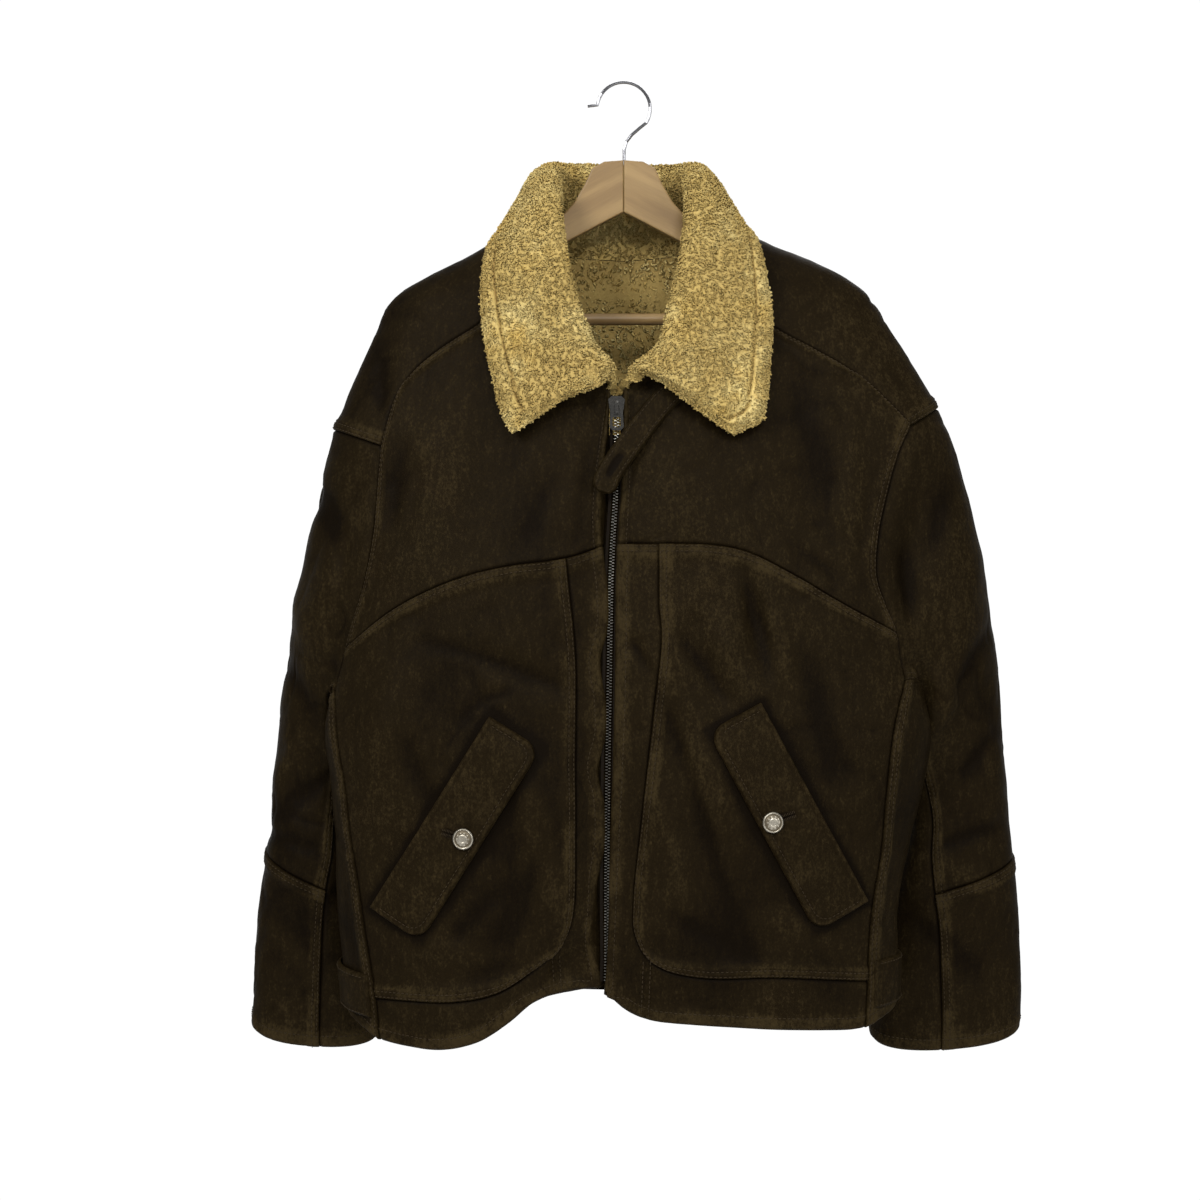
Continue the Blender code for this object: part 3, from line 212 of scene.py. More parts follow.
sideSeam = table(sides, (
    (-265, -563, 256, -553),
    (-262, -606, 245, -595),
    (-254, -652, 238, -651),
    (-249, -698, 233, -709),
    (-242, -738, 226, -751),
    (-235, -785, 222, -790),
    (-226, -840, 221, -824),
    (-222, -878, 219, -867),
))
sideSeamBand = 6
sideSeamBack = table(sides, (
    (-265, -563, 256, -553),
    (-256, -640, 240, -640),
    (-246, -720, 230, -720),
    (-234, -800, 222, -800),
    (-228, -845, 220, -845),
))
hem = table(sides, (
    (-23, -828, -11, -838),
    (-40, -828, 0, -847),
    (-60, -832, 18, -854),
    (-80, -839, 62, -859),
    (-104, -858, 100, -862),
    (-130, -875, 140, -865),
    (-165, -884, 180, -867),
    (-197, -882, 205, -868),
    (-222, -878, 219, -867),
))
hemBack = table(sides, (
    (-228, -845, 220, -845),
    (-110, -848, 110, -848),
    (-50, -850, 50, -850),
    (-16, -851, 16, -851),
    (0, -851, 0, -851),
))

# The sleeves as the front view shows them, each row one ring: its outer and inner ends, the
# middle of its depth in Y, half that depth, and how far its front hangs below its back.
sleeveRows = {
    "left": table("outerX outerZ innerX innerZ middle half drop", (
        (-269, -322, -262, -566, -12, 62, 0),
        (-281, -369, -268, -572, 3, 60, 0),
        (-297, -430, -268, -592, 21, 54, 2),
        (-309, -490, -266, -622, 37, 48, 4),
        (-320, -548, -262, -662, 47, 47, 6),
        (-328, -607, -258, -700, 50, 48, 8),
        (-334, -665, -252, -730, 51, 50, 9),
        (-339, -715, -249, -754, 52, 49, 10),
        (-345, -762, -242, -788, 54, 46, 11),
        (-350, -829, -235, -846, 56, 42, 13),
        (-353, -881, -230, -889, 57, 38, 14),
    )),
    "right": table("outerX outerZ innerX innerZ middle half drop", (
        (291, -302, 255, -557, -12, 62, 0),
        (308, -340, 262, -565, 4, 60, 0),
        (327, -408, 265, -582, 21, 57, 2),
        (341, -470, 266, -612, 35, 54, 4),
        (351, -526, 264, -652, 45, 52, 6),
        (358, -595, 266, -692, 49, 51, 8),
        (364, -660, 256, -728, 51, 51, 9),
        (370, -721, 249, -758, 52, 49, 10),
        (375, -770, 243, -792, 54, 46, 11),
        (378, -835, 237, -850, 56, 42, 13),
        (376, -883, 235, -893, 57, 38, 14),
    )),
}
elbowRing = 7
underSeamAtCuff = 94.0     # degrees round the ring from its outer end

# Folds of the sleeves: along is 0 at the armhole and 1 at the cuff, around is in degrees from the
# outer end over the front.
sleeveFolds = {
    "left": table("along around reach spread depth", (
        (0.10, 70, 0.05, 26, -8),
        (0.33, 115, 0.06, 30, 6),
        (0.52, 60, 0.05, 40, -4),
        (0.84, 70, 0.04, 26, -5),
        (0.45, 270, 0.05, 50, -5),
    )),
    "right": table("along around reach spread depth", (
        (0.10, 75, 0.05, 30, -12),
        (0.33, 115, 0.06, 36, 9),
        (0.55, 100, 0.05, 30, -5),
        (0.66, 60, 0.05, 44, -3),
        (0.86, 60, 0.04, 30, -4),
        (0.45, 270, 0.05, 50, -5),
    )),
}

# The collar, one row for each station from the zip to the middle of the back: how far along the
# half neckline it is sewn, the innermost point of the roll, and its free edge on the body.
collarRows = table(
    "along rollLeft rollRight rollY rollZ leftX leftZ rightX rightZ face lift", (
        (0.00, -6, 0, -84, -281, -100, -333, 96, -334, 1, 6),
        (0.09, -13, 12, -84, -267, -108, -318, 121, -322, 1, 5),
        (0.19, -26, 29, -82, -251, -113, -302, 127, -302, 1, 3),
        (0.30, -37, 37, -80, -226, -118, -282, 130, -276, 1, 1),
        (0.41, -47, 46, -75, -195, -124, -254, 132, -250, 1, 1),
        (0.51, -54, 53, -68, -156, -128, -224, 133, -220, 1, 3),
        (0.59, -58, 56, -48, -120, -130, -196, 128, -190, 1, 4),
        (0.66, -60, 58, -24, -100, -127, -172, 124, -163, 1, 4),
        (0.71, -60, 58, -6, -92, -121, -153, 118, -147, 1, 4),
        (0.76, -57, 56, 10, -89, -116, -163, 114, -158, -1, 4),
        (0.84, -47, 47, 28, -88, -94, -172, 94, -170, -1, 2),
        (0.92, -26, 26, 37, -86, -52, -175, 52, -175, -1, 1),
        (1.00, 0, 0, 41, -84, 0, -172, 0, -172, -1, 1),
    ))

# The throat strap's middle line, from under the collar to its round end
strapLine = table("x z", (
    (48, -288),
    (33, -303),
    (17, -323),
    (1, -345),
    (-8, -358),
    (-15, -370),
    (-20, -385),
))

# Pocket flaps: the two ends of the sewn edge, and the button's place
flapEnds = {
    "left": {"start": (-228, -757), "end": (-120, -584), "button": (-142, -692)},
    "right": {"start": (218, -751), "end": (121, -572), "button": (130, -677)},
}

# Waist tabs: heights of the upper and lower edge at the side seam and where the tab ends behind
tabEdges = {
    "left": {"upper": (-819, -800), "lower": (-858, -839)},
    "right": {"upper": (-806, -798), "lower": (-850, -838)},
}
tabEnd = 128.0           # degrees round the body


# 0 to 1 with a soft start and end: 3 squares less 2 cubes.
def ease(value):
    value = np.clip(value, 0.0, 1.0)
    return value * value * (3.0 - 2.0 * value)


# 1 at no distance, falling off to both sides: e to the power of minus the square of distance by width.
def bell(distance, width):
    return np.exp(-((distance / width) ** 2))


# Vectors divided by their lengths.
def unit(vectors):
    return vectors / np.linalg.norm(vectors, axis=-1, keepdims=True)


# Distances along a path of points from its first one.
def runLength(points):
    return np.concatenate([[0.0], np.cumsum(np.linalg.norm(np.diff(points, axis=0), axis=1))])


# Rows of values at any place between their knots, in straight lines.
def between(at, knots, values):
    return np.stack([np.interp(at, knots, column) for column in values.T], axis=-1)


# Cubic pieces through the values, with slopes from their neighbours.
def smooth(knots, values, at):
    slopes = np.gradient(values, knots)
    at = np.clip(at, knots[0], knots[-1])
    first = np.clip(np.searchsorted(knots, at) - 1, 0, len(knots) - 2)
    span = knots[first + 1] - knots[first]
    part = (at - knots[first]) / span
    square = part * part
    cube = square * part
    return (
        (2 * cube - 3 * square + 1) * values[first]
        + (cube - 2 * square + part) * span * slopes[first]
        + (3 * square - 2 * cube) * values[first + 1]
        + (cube - square) * span * slopes[first + 1]
    )


# One column of the body's table at any height.
def bodyRow(name, height):
    return smooth(-bodyRows["height"], bodyRows[name], -height)


# The zip's line at any height.
def zipX(height):
    return smooth(-zipLine["height"], zipLine["x"], -height)


# How far a table of lines moves the surface outwards: depth, less towards the lines' ends, falling
# off as a bell with the distance from the line, which may bow.
def lineRelief(lines, face, x, z, ends=0.25, power=0.7, bow=0.03, size=1.35):
    moved = np.zeros(np.shape(x))
    for side, x0, z0, x1, z1, width, depth in zip(*lines.values()):
        alongX, alongZ = x1 - x0, z1 - z0
        part = ((x - x0) * alongX + (z - z0) * alongZ) / (alongX**2 + alongZ**2)
        held = np.clip(part, 0, 1)
        bulge = bow * np.hypot(alongX, alongZ) * np.sin(np.pi * held)
        away = np.hypot(x - x0 - held * alongX, z - z0 - held * alongZ - bulge)
        taper = ends + (1 - ends) * np.sin(np.pi * held) ** power
        moved += np.where(face == side, size * depth * taper * bell(away, width), 0.0)
    return moved


# Half the body's width on the side that the angle points to.
def halfWidth(angle, height):
    return np.where(np.sin(angle) > 0, bodyRow("right", height), bodyRow("left", height))


# A point of the outer surface: half-width times the sine, depth times a power of the cosine, less
# the zip's dip, plus the folds. Without detail it leaves out the last two.
def bodySurface(angle, height, detail=True):
    angle = np.asarray(angle, float)
    height = np.asarray(height, float)
    x = halfWidth(angle, height) * np.sin(angle)
    facing = np.cos(angle)
    face = np.where(facing > 0, 1, -1)
    depth = np.where(facing > 0, bodyRow("front", height), bodyRow("back", height))
    reach = depth * np.abs(facing) ** bodySquare
    if detail:
        fade = ease(np.abs(facing) / 0.5)
        dip = zipDip * (0.45 + 0.55 * ease((-height - 300) / 160))
        nearZip = bell(x - zipX(height), zipDipWidth)
        reach = reach - np.where(face == 1, dip * nearZip, 0.0)
        relief = lineRelief(largeFolds, face, x, height, ends=0.35, power=1.0, bow=0.0, size=1.0)
        reach = reach + fade * relief
    y = bodyRow("middle", height) - face * reach
    return np.stack([x, y, height], axis=-1)


# The outward direction: square to the slopes down and around the surface.
def bodyNormal(angle, height, detail=True):
    stepAngle = 0.01
    stepHeight = 2.0
    around = bodySurface(angle + stepAngle, height, detail)
    around = around - bodySurface(angle - stepAngle, height, detail)
    down = bodySurface(angle, height - stepHeight, detail)
    down = down - bodySurface(angle, height + stepHeight, detail)
    return unit(np.cross(down, around))


# Angle and height of a place that the front view shows at x and z: the arc sine of x by half-width.
def placeOn(x, z, face=1):
    x = np.asarray(x, float)
    z = np.asarray(z, float)
    half = np.where(x > 0, bodyRow("right", z), bodyRow("left", z))
    angle = np.arcsin(np.clip(x / half, -1.0, 1.0))
    if face < 0:
        angle = np.where(angle < 0, -np.pi - angle, np.pi - angle)
    return np.stack([angle, z], axis=-1)


# A smooth curve between two of the points, shaped by those before and after them. Its knots are the
# summed roots of the points' distances.
def curveThrough(points, first, last, steps=16):
    points = np.asarray(points, float)
    chord = np.linalg.norm(np.diff(points, axis=0), axis=1) ** 0.5
    knots = np.concatenate([[0.0], np.cumsum(chord)])
    at = np.concatenate(
        [np.linspace(knots[i], knots[i + 1], steps, endpoint=False) for i in range(first, last)]
        + [[knots[last]]]
    )
    return np.stack([smooth(knots, column, at) for column in points.T], axis=-1)


# The path of places divided into cells of equal length on the body.
def divide(places, cells):
    length = runLength(bodySurface(places[:, 0], places[:, 1]))
    return between(np.linspace(0.0, length[-1], cells + 1), length, places)


# Part of a seam table as divided places on the body. Past the back's middle its angle runs on.
def seam(rows, side, first, last, cells, face=1):
    points = np.stack([rows[side + "X"], rows[side + "Z"]], axis=-1)
    last = len(points) - 1 if last is None else last
    path = curveThrough(points, first, last)
    places = placeOn(path[:, 0], path[:, 1], face)
    if face < 0:
        sign = 1 if side == "right" else -1
        places[:, 0] += np.where(sign * places[:, 0] <= 0, sign * 2 * np.pi, 0.0)
    return divide(places, cells)


# Paths end to end, with each shared place kept once.
def join(*paths):
    return np.concatenate([paths[0]] + [path[1:] for path in paths[1:]])


# The leather's edge beside the zip, from one height to another.
def zipEdge(side, top, bottom, cells):
    clear = zipHalf + 2 * seamGap + tapeWidth
    height = np.linspace(top, bottom, 8 * cells)
    x = zipX(height) + (clear if side == "right" else -clear)
    return divide(placeOn(x, height), cells)


# The neckline over the shoulder, straight front to back as seen from above.
def neckSide(side, cells):
    sign = 1 if side == "right" else -1
    x = abs(neckFront[side + "X"][-1])
    heights = np.linspace(bodyRows["height"][0], -200, 300)
    widths = bodyRow(side, heights)
    front = np.interp(neckFront[side + "Z"][-1], heights[::-1], widths[::-1])
    back = np.interp(neckBack[side + "Z"][0], heights[::-1], widths[::-1])
    angle = np.linspace(np.arcsin(x / front), np.pi - np.arcsin(x / back), 60)
    height = np.interp(x / np.sin(angle), widths, heights)
    return divide(np.stack([sign * angle, height], axis=-1), cells)


# The armhole's edge over the top of the shoulder: a parabola of the angle.
def overShoulder(side, start, end, cells):
    angle = np.linspace(start[0], end[0], 60)
    quarter = np.sign(start[0]) * np.pi / 2
    share = ((angle - quarter) / (start[0] - quarter)) ** 2
    height = armholeTop[side] + (start[1] - armholeTop[side]) * share
    return divide(np.stack([angle, height], axis=-1), cells)


# A path round the side whose height changes faster near its start.
def bent(start, end, cells, power):
    part = np.linspace(0.0, 1.0, 60)
    angle = start[0] + (end[0] - start[0]) * part
    height = end[1] + (start[1] - end[1]) * (1.0 - part) ** power
    return divide(np.stack([angle, height], axis=-1), cells)


# Angles measured from the back's middle, so that a panel can cross it. It is its own inverse.
def fromBehind(places):
    angle = places[..., 0]
    turned = np.where(angle < 0, -np.pi - angle, np.pi - angle)
    return np.stack([turned, places[..., 1]], axis=-1)


# All seams of one side of the body, each as divided places.
def seamsOf(side):
    count = cellCounts
    down = count["armpit"] + count["side"]
    behind = count["saddle"] - count["saddleEnd"] + count["neckBack"]
    made = {
        name: seam(rows, side, first, last, cells, face)
        for name, rows, first, last, cells, face in (
            ("neckFront", neckFront, 0, None, count["neck"], 1),
            ("saddleFront", saddleFront, 0, None, count["saddle"], 1),
            ("saddleBack", saddleBack, 0, None, count["saddle"], -1),
            ("neckBack", neckBack, 0, None, count["neckBack"], -1),
            ("armholeChest", armhole, 0, armholeYoke, count["chest"], 1),
            ("armholeFront", armhole, armholeYoke, None, count["armpit"], 1),
            ("armholeBack", armhole, 0, None, count["armholeBack"], -1),
            ("yokeBand", yoke, 0, yokeBand, count["band"], 1),
            ("yoke", yoke, yokeBand, None, count["yoke"], 1),
            ("bandDown", band, 0, bandCorner, down, 1),
            ("bandAcross", band, bandCorner, None, count["yoke"], 1),
            ("sideFront", sideSeam, 0, sideSeamBand, count["side"], 1),
            ("sideEnd", sideSeam, sideSeamBand, None, count["hemEnd"], 1),
            ("sideBack", sideSeamBack, 0, None, count["side"] + count["hemEnd"], -1),
            ("hem", hem, 0, None, count["yoke"], 1),
            ("hemBack", hemBack, 0, None, behind, -1),
        )
    }
    neckTop, yokeTop, hemTop = (made[name][0, 1] for name in ("neckFront", "yokeBand", "hem"))
    made["zipChest"] = zipEdge(side, neckTop, yokeTop, count["saddleEnd"] + count["chest"])
    made["zipBand"] = zipEdge(side, yokeTop, hemTop, down)
    made["neckFront"][0] = made["zipChest"][0]
    made["yokeBand"][0] = made["zipBand"][0]
    made["hem"][0] = made["zipBand"][-1]
    made["neckSide"] = neckSide(side, count["over"])
    made["over"] = overShoulder(side, made["saddleFront"][-1], made["saddleBack"][-1], count["over"])
    made["underarm"] = bent(made["sideFront"][0], made["sideBack"][0], count["underarm"], 1)
    made["hemSide"] = bent(made["sideEnd"][-1], made["sideBack"][-1], count["underarm"], 2)
    return made


# The armhole as one closed ring of places, from the shoulder's top over the front.
def armholeRing(seams):
    over = seams["over"]
    middle = cellCounts["over"] // 2
    ring = join(
        over[middle::-1],
        seams["armholeChest"],
        seams["armholeFront"],
        seams["underarm"],
        seams["armholeBack"][::-1],
        over[: middle - 1 : -1],
    )
    return ring[:-1]


# Cells that each seam is divided into, as in the solids, times the fineness.
cellCounts = {name: count * fine for name, count in {
    "neck": 5, "saddle": 8, "saddleEnd": 2, "over": 6, "chest": 7, "armpit": 2, "underarm": 4,
    "armholeBack": 9, "band": 2, "yoke": 9, "side": 11, "hemEnd": 2, "neckBack": 3,
}.items()}
seamFront = cellCounts["over"] // 2 + cellCounts["chest"] + cellCounts["armpit"]
seamBack = seamFront + cellCounts["underarm"]     # where the under-sleeve starts and ends round the armhole


# Points of a path at shares of its length in cells: straight between its places.
def pick(path, shares):
    return between(np.asarray(shares) * (len(path) - 1), np.arange(len(path)), path)


# A grid between four paths: the two ruled surfaces added, less the one through the four corners.
def fill(edges, across, down):
    top, bottom, start, end = edges
    top, bottom = pick(top, across)[None], pick(bottom, across)[None]
    start, end = pick(start, down)[:, None], pick(end, down)[:, None]
    across = across[None, :, None]
    down = down[:, None, None]
    ruled = (1 - down) * top + down * bottom + (1 - across) * start + across * end
    corners = (1 - down) * ((1 - across) * edges[0][0] + across * edges[0][-1])
    corners = corners + down * ((1 - across) * edges[1][0] + across * edges[1][-1])
    return ruled - corners


# The four paths around each panel of one side: top, bottom, start and end.
def panelEdges(seams):
    end = cellCounts["saddleEnd"]
    saddle = seams["saddleFront"]
    return {
        "chest": (join(seams["neckFront"], saddle[:-end]), join(seams["yokeBand"], seams["yoke"]),
                  seams["zipChest"], join(saddle[-end - 1:], seams["armholeChest"])),
        "front": (seams["yoke"], seams["bandAcross"], seams["bandDown"],
                  join(seams["armholeFront"], seams["sideFront"])),
        "band": (join(seams["bandDown"], seams["bandAcross"]), join(seams["zipBand"], seams["hem"]),
                 seams["yokeBand"][::-1], seams["sideEnd"]),
        "side": (seams["underarm"], seams["hemSide"],
                 join(seams["sideFront"], seams["sideEnd"]), seams["sideBack"]),
        "shoulder": (seams["neckSide"], seams["over"], saddle, seams["saddleBack"]),
    }


# The back's four paths, measured from its middle so that they can cross it.
def backEdges(left, right):
    end = cellCounts["saddleEnd"]
    rows = []
    for seams in (left, right):
        saddle = seams["saddleBack"][::-1]
        rows.append({
            "top": fromBehind(join(saddle[end:], seams["neckBack"])),
            "hem": fromBehind(seams["hemBack"]),
            "edge": fromBehind(join(saddle[end::-1], seams["armholeBack"], seams["sideBack"])),
        })
    return (join(rows[0]["top"], rows[1]["top"][::-1]), join(rows[0]["hem"], rows[1]["hem"][::-1]),
            rows[0]["edge"], rows[1]["edge"])


# Shares from 0 to 1 for a length in millimetres: close together at both ends, where the seams lie.
def spaced(length, step):
    near = np.array([0, 0.9, 2.0, 3.3, 5.0, 6.8, 8.6, 10.6])
    inner = length - 2 * near[-1]
    count = max(2, int(round(inner / step)))
    middle = near[-1] + inner * np.linspace(0, 1, count + 1)[1:-1]
    return np.concatenate([near, middle, length - near[::-1]]) / length


# How long the paths are on the body, in millimetres.
def pathLength(places):
    return runLength(bodySurface(places[:, 0], places[:, 1]))[-1]


# The longest line across a grid of points and the longest one down it.
def gridSpans(points):
    wide = np.linalg.norm(np.diff(points, axis=1), axis=-1).sum(axis=1).max()
    tall = np.linalg.norm(np.diff(points, axis=0), axis=-1).sum(axis=0).max()
    return wide, tall


# A sleeve's table at rows of any fineness.
def sleeveRow(side, rowsAt):
    knots = np.arange(len(sleeveRows[side]["half"]), dtype=float)
    return {name: smooth(knots, values, rowsAt) for name, values in sleeveRows[side].items()}


# The middle of a sleeve at each row.
def sleeveAxis(side, rowsAt):
    row = sleeveRow(side, rowsAt)
    x, z = (row["outerX"] + row["innerX"]) / 2, (row["outerZ"] + row["innerZ"]) / 2
    return np.stack([x, row["middle"], z], axis=-1)


# One closed curve for each row: from the outer to the inner end with powers of a cosine and a sine.
def sleeveRings(row, turn):
    across = np.sign(np.cos(turn)) * np.abs(np.cos(turn)) ** sleeveSquare
    deep = np.sign(np.sin(turn)) * np.abs(np.sin(turn)) ** sleeveSquare
    x = (row["outerX"] + row["innerX"]) / 2 + (row["outerX"] - row["innerX"]) / 2 * across
    z = (row["outerZ"] + row["innerZ"]) / 2 + (row["outerZ"] - row["innerZ"]) / 2 * across
    return np.stack([x, row["middle"] - row["half"] * deep, z - row["drop"] * deep], axis=-1)


# The sleeve at rows and columns of any fineness: a closed curve for each row. The first row is the
# armhole, and its difference from such a curve fades out down the sleeve. Bells are added as folds.
def sleeveSurface(side, ring, rowsAt, columns):
    rows = sleeveRows[side]
    row = {name: values[:, None] for name, values in sleeveRow(side, rowsAt).items()}
    start = np.array([rows["outerX"][0] + rows["innerX"][0], rows["outerZ"][0] + rows["innerZ"][0]])
    reach = np.array([rows["outerX"][0] - rows["innerX"][0], rows["outerZ"][0] - rows["innerZ"][0]])
    closed = np.concatenate([ring, ring[:1]])
    points = bodySurface(closed[:, 0], closed[:, 1])
    along = (points[:, [0, 2]] - start / 2) @ reach / (reach @ reach / 2)
    forward = (rows["middle"][0] - points[:, 1]) / rows["half"][0]
    first = np.unwrap(np.arctan2(forward, along))
    first = first - 2 * np.pi * np.round(first[0] / (2 * np.pi))
    first[-1] = first[0] + 2 * np.pi
    count = len(ring)
    cuffSeam = np.radians(underSeamAtCuff)
    place = np.mod(columns, count)
    whole = np.arange(count + 1)
    armholeAt = between(place, whole, points)
    first = np.interp(place, whole, first)
    last = np.interp(place, (0, seamFront, seamBack, count), (0.0, cuffSeam, 2 * np.pi - cuffSeam, 2 * np.pi))
    share = (rowsAt / (len(rows["half"]) - 1))[:, None]
    turn = (1 - ease(share)) * first + ease(share) * last
    made = sleeveRings(row, turn)
    top = sleeveRings({name: values[:1, None] for name, values in rows.items()}, first[None])
    made = made + (armholeAt - top) * ((1 - np.clip(share / 0.35, 0, 1)) ** 2)[..., None]
    outward = gridNormals(made, made - made.mean(axis=1, keepdims=True))
    degrees = np.degrees(turn)
    for alongAt, aroundAt, spreadAlong, spread, depth in zip(*sleeveFolds[side].values()):
        near = bell(share - alongAt, spreadAlong) * bell(degrees - aroundAt, spread)
        made = made + (depth * near * ease(share / 0.06))[..., None] * outward
    return made, share


# Directions square to a grid of points, on the side that the hint points to.
def gridNormals(points, hint):
    normals = unit(np.cross(np.gradient(points, axis=0), np.gradient(points, axis=1)) + 1e-12)
    if (normals * hint).sum() < 0:
        normals = -normals
    return normals


# Distances from each of a grid's four borders, measured along its lines.
def borderDistances(points):
    down = np.linalg.norm(np.diff(points, axis=0), axis=-1)
    across = np.linalg.norm(np.diff(points, axis=1), axis=-1)
    zero = np.zeros((1, points.shape[1]))
    top = np.concatenate([zero, np.cumsum(down, axis=0)])
    zero = np.zeros((points.shape[0], 1))
    start = np.concatenate([zero, np.cumsum(across, axis=1)], axis=1)
    return {"top": top, "bottom": top[-1:] - top, "start": start, "end": start[:, -1:] - start}


# Smooth random values from -1 to 1: each corner of a lattice has its own, and between them they
# are blended with soft steps. Size is the lattice's cell.
def noise(points, size, seed=0.0):
    at = points / size + seed * 13.7
    corner = np.floor(at)
    part = at - corner
    part = part * part * (3 - 2 * part)
    total = 0.0
    for dx in (0, 1):
        for dy in (0, 1):
            for dz in (0, 1):
                lattice = corner + np.array([dx, dy, dz])
                value = np.sin(lattice @ np.array([127.1, 311.7, 74.7])) * 43758.5453
                value = value - np.floor(value)
                weight = (part[..., 0] if dx else 1 - part[..., 0])
                weight = weight * (part[..., 1] if dy else 1 - part[..., 1])
                weight = weight * (part[..., 2] if dz else 1 - part[..., 2])
                total = total + weight * value
    return 2 * total - 1


# Creases as the front view shows them, and like ones behind: a soft trough or ridge along a line.
# Face 1 is the front and -1 the back.
creases = table(lineColumns, (
    (1, 2, -511, 23, -546, 5, -2.6),       # right of the zip
    (1, 30, -561, 58, -640, 6, -3.2),
    (1, 58, -640, 81, -718, 6, -3.0),
    (1, 81, -718, 94, -752, 5, -2.2),
    (1, 94, -752, 119, -806, 5, -2.4),
    (1, 46, -508, 91, -570, 6, -2.8),
    (1, 108, -455, 130, -552, 8, -4.0),
    (1, 118, -452, 150, -560, 9, 2.2),
    (1, 60, -600, 96, -690, 12, 2.0),
    (1, 20, -640, 60, -760, 12, 1.8),
    (1, 150, -500, 190, -640, 14, -2.2),
    (1, 120, -760, 190, -790, 9, 1.8),
    (1, 40, -760, 110, -800, 7, -1.8),
    (1, -185, -516, -54, -560, 5, -2.2),   # across the left front
    (1, -128, -570, -100, -560, 4, -1.8),
    (1, -128, -570, -150, -590, 4, -1.6),
    (1, -128, -570, -140, -540, 4, -1.6),
    (1, -128, -570, -104, -596, 4, -1.5),
    (1, -200, -600, -160, -700, 10, -2.0),
    (1, -90, -640, -60, -760, 12, 2.2),
    (1, -70, -700, -110, -790, 9, -2.0),
    (1, -190, -790, -120, -800, 8, 1.8),
    (1, -100, -730, -160, -790, 7, -1.6),
    (1, -225, -255, -222, -305, 6, -2.6),  # by the left shoulder
    (1, -200, -330, -215, -420, 12, -2.6),
    (1, -150, -300, -180, -420, 16, 1.8),
    (1, -60, -360, -90, -430, 12, -1.6),
    (1, -30, -330, -40, -430, 8, -1.6),
    (1, 40, -360, 60, -425, 10, 1.6),
    (1, 150, -270, 190, -400, 16, -2.0),
    (1, 205, -330, 200, -450, 12, 2.2),
    (1, 190, -460, 150, -430, 7, -1.6),
    (-1, -60, -300, -110, -520, 18, -3.0),
    (-1, 70, -320, 120, -560, 18, -3.0),
    (-1, -180, -420, -90, -600, 12, -2.6),
    (-1, 180, -430, 100, -610, 12, -2.6),
    (-1, -20, -420, 20, -700, 20, 2.4),
    (-1, -140, -640, -60, -790, 12, -2.2),
    (-1, 150, -650, 70, -800, 12, -2.2),
    (-1, -200, -560, -150, -760, 10, 2.0),
    (-1, 190, -560, 140, -740, 10, 2.0),
    (-1, -90, -190, 80, -200, 10, -2.0),
))


# Soft waves that hang down, smaller crumples, and thin creases where a third wave crosses zero.
def wrinkles(points, strength=1.0):
    hung = points * np.array([1.0, 1.0, 0.45])
    waves = 1.5 * noise(hung, 62, skin["seed"]) + 0.8 * noise(hung, 27, skin["seed"] + 1)
    crumple = 0.34 * noise(points, 11, skin["seed"] + 2) + 0.2 * noise(points, 5.5, skin["seed"] + 3)
    bent = points + 9 * np.stack([noise(points, 34, 8), noise(points, 34, 9), noise(points, 34, 10)], -1)
    ridge = 1 - np.abs(noise(bent * np.array([1, 1, 0.7]), 38, skin["seed"] + 5))
    sharp = -0.9 * np.clip((ridge - 0.86) / 0.14, 0, 1) ** 2
    local = 0.5 + 0.5 * noise(points, 120, skin["seed"] + 6)
    return strength * skin["wrinkle"] * (waves + (0.4 + local) * (crumple + sharp))


# For each way of finishing a border: rise of the band beside it, its width, the drop at the very
# edge, and the distances of its rows of stitches.
borderKinds = {
    "lap": {"rise": 1.7, "wide": 9.5, "drop": 0.2, "rows": (2.3, 7.2)},
    "lapOne": {"rise": 1.3, "wide": 6.0, "drop": 0.2, "rows": (3.0,)},
    "under": {"rise": 0.0, "wide": 4.0, "drop": 1.9, "rows": ()},
    "hem": {"rise": 0.7, "wide": 13.0, "drop": 2.6, "rows": (12.5,)},
    "lip": {"rise": 2.6, "wide": 5.0, "drop": 1.4, "rows": (10.5,)},
    "turned": {"rise": 0.6, "wide": 5.5, "drop": 1.8, "rows": (5.8,)},
    "plain": {"rise": 0.0, "wide": 1.0, "drop": 0.0, "rows": ()},
}


# Height and tone of a border at distances from it: a band that rises steeply and falls softly, a rounded
# edge, a furrow under each row of stitches, and puckers along them. The raised band is lighter, partly worn
# and partly a painted highlight; painted shade darkens an edge that goes under, each furrow and the puckers'
# hollows, and the puckers' tops are painted lighter.
def borderRelief(kind, away, points):
    made = borderKinds[kind]
    rise, wide = made["rise"], made["wide"]
    pucker = noise(points, 6.5, 21) * bell(away - wide * 0.75, 0.55 * wide + 2)
    lift = rise * ease(away / 1.6 + 0.35) * (1 - ease((away - wide) / 3.2))
    height = lift - made["drop"] * (1 - ease(away / 3.4)) ** 1.5
    tone = (0.95 * lift / max(rise, 1e-6) if rise else 0 * away) * (0.6 + 0.4 * noise(points, 17, 22))
    # painted shade where the edge goes under its neighbour
    if kind == "under":
        tone = tone - 0.6 * bell(away, 2.2)
    for row in made["rows"]:
        # painted shade in each furrow
        furrow = bell(away - row, 1.15)
        height = height - 0.55 * furrow
        tone = tone - 0.35 * furrow
    # puckers painted lighter where they rise and darker where they sink
    if made["rows"]:
        height = height + 0.55 * pucker
        tone = tone + 0.25 * np.clip(pucker, -1, 1)
    return height, tone


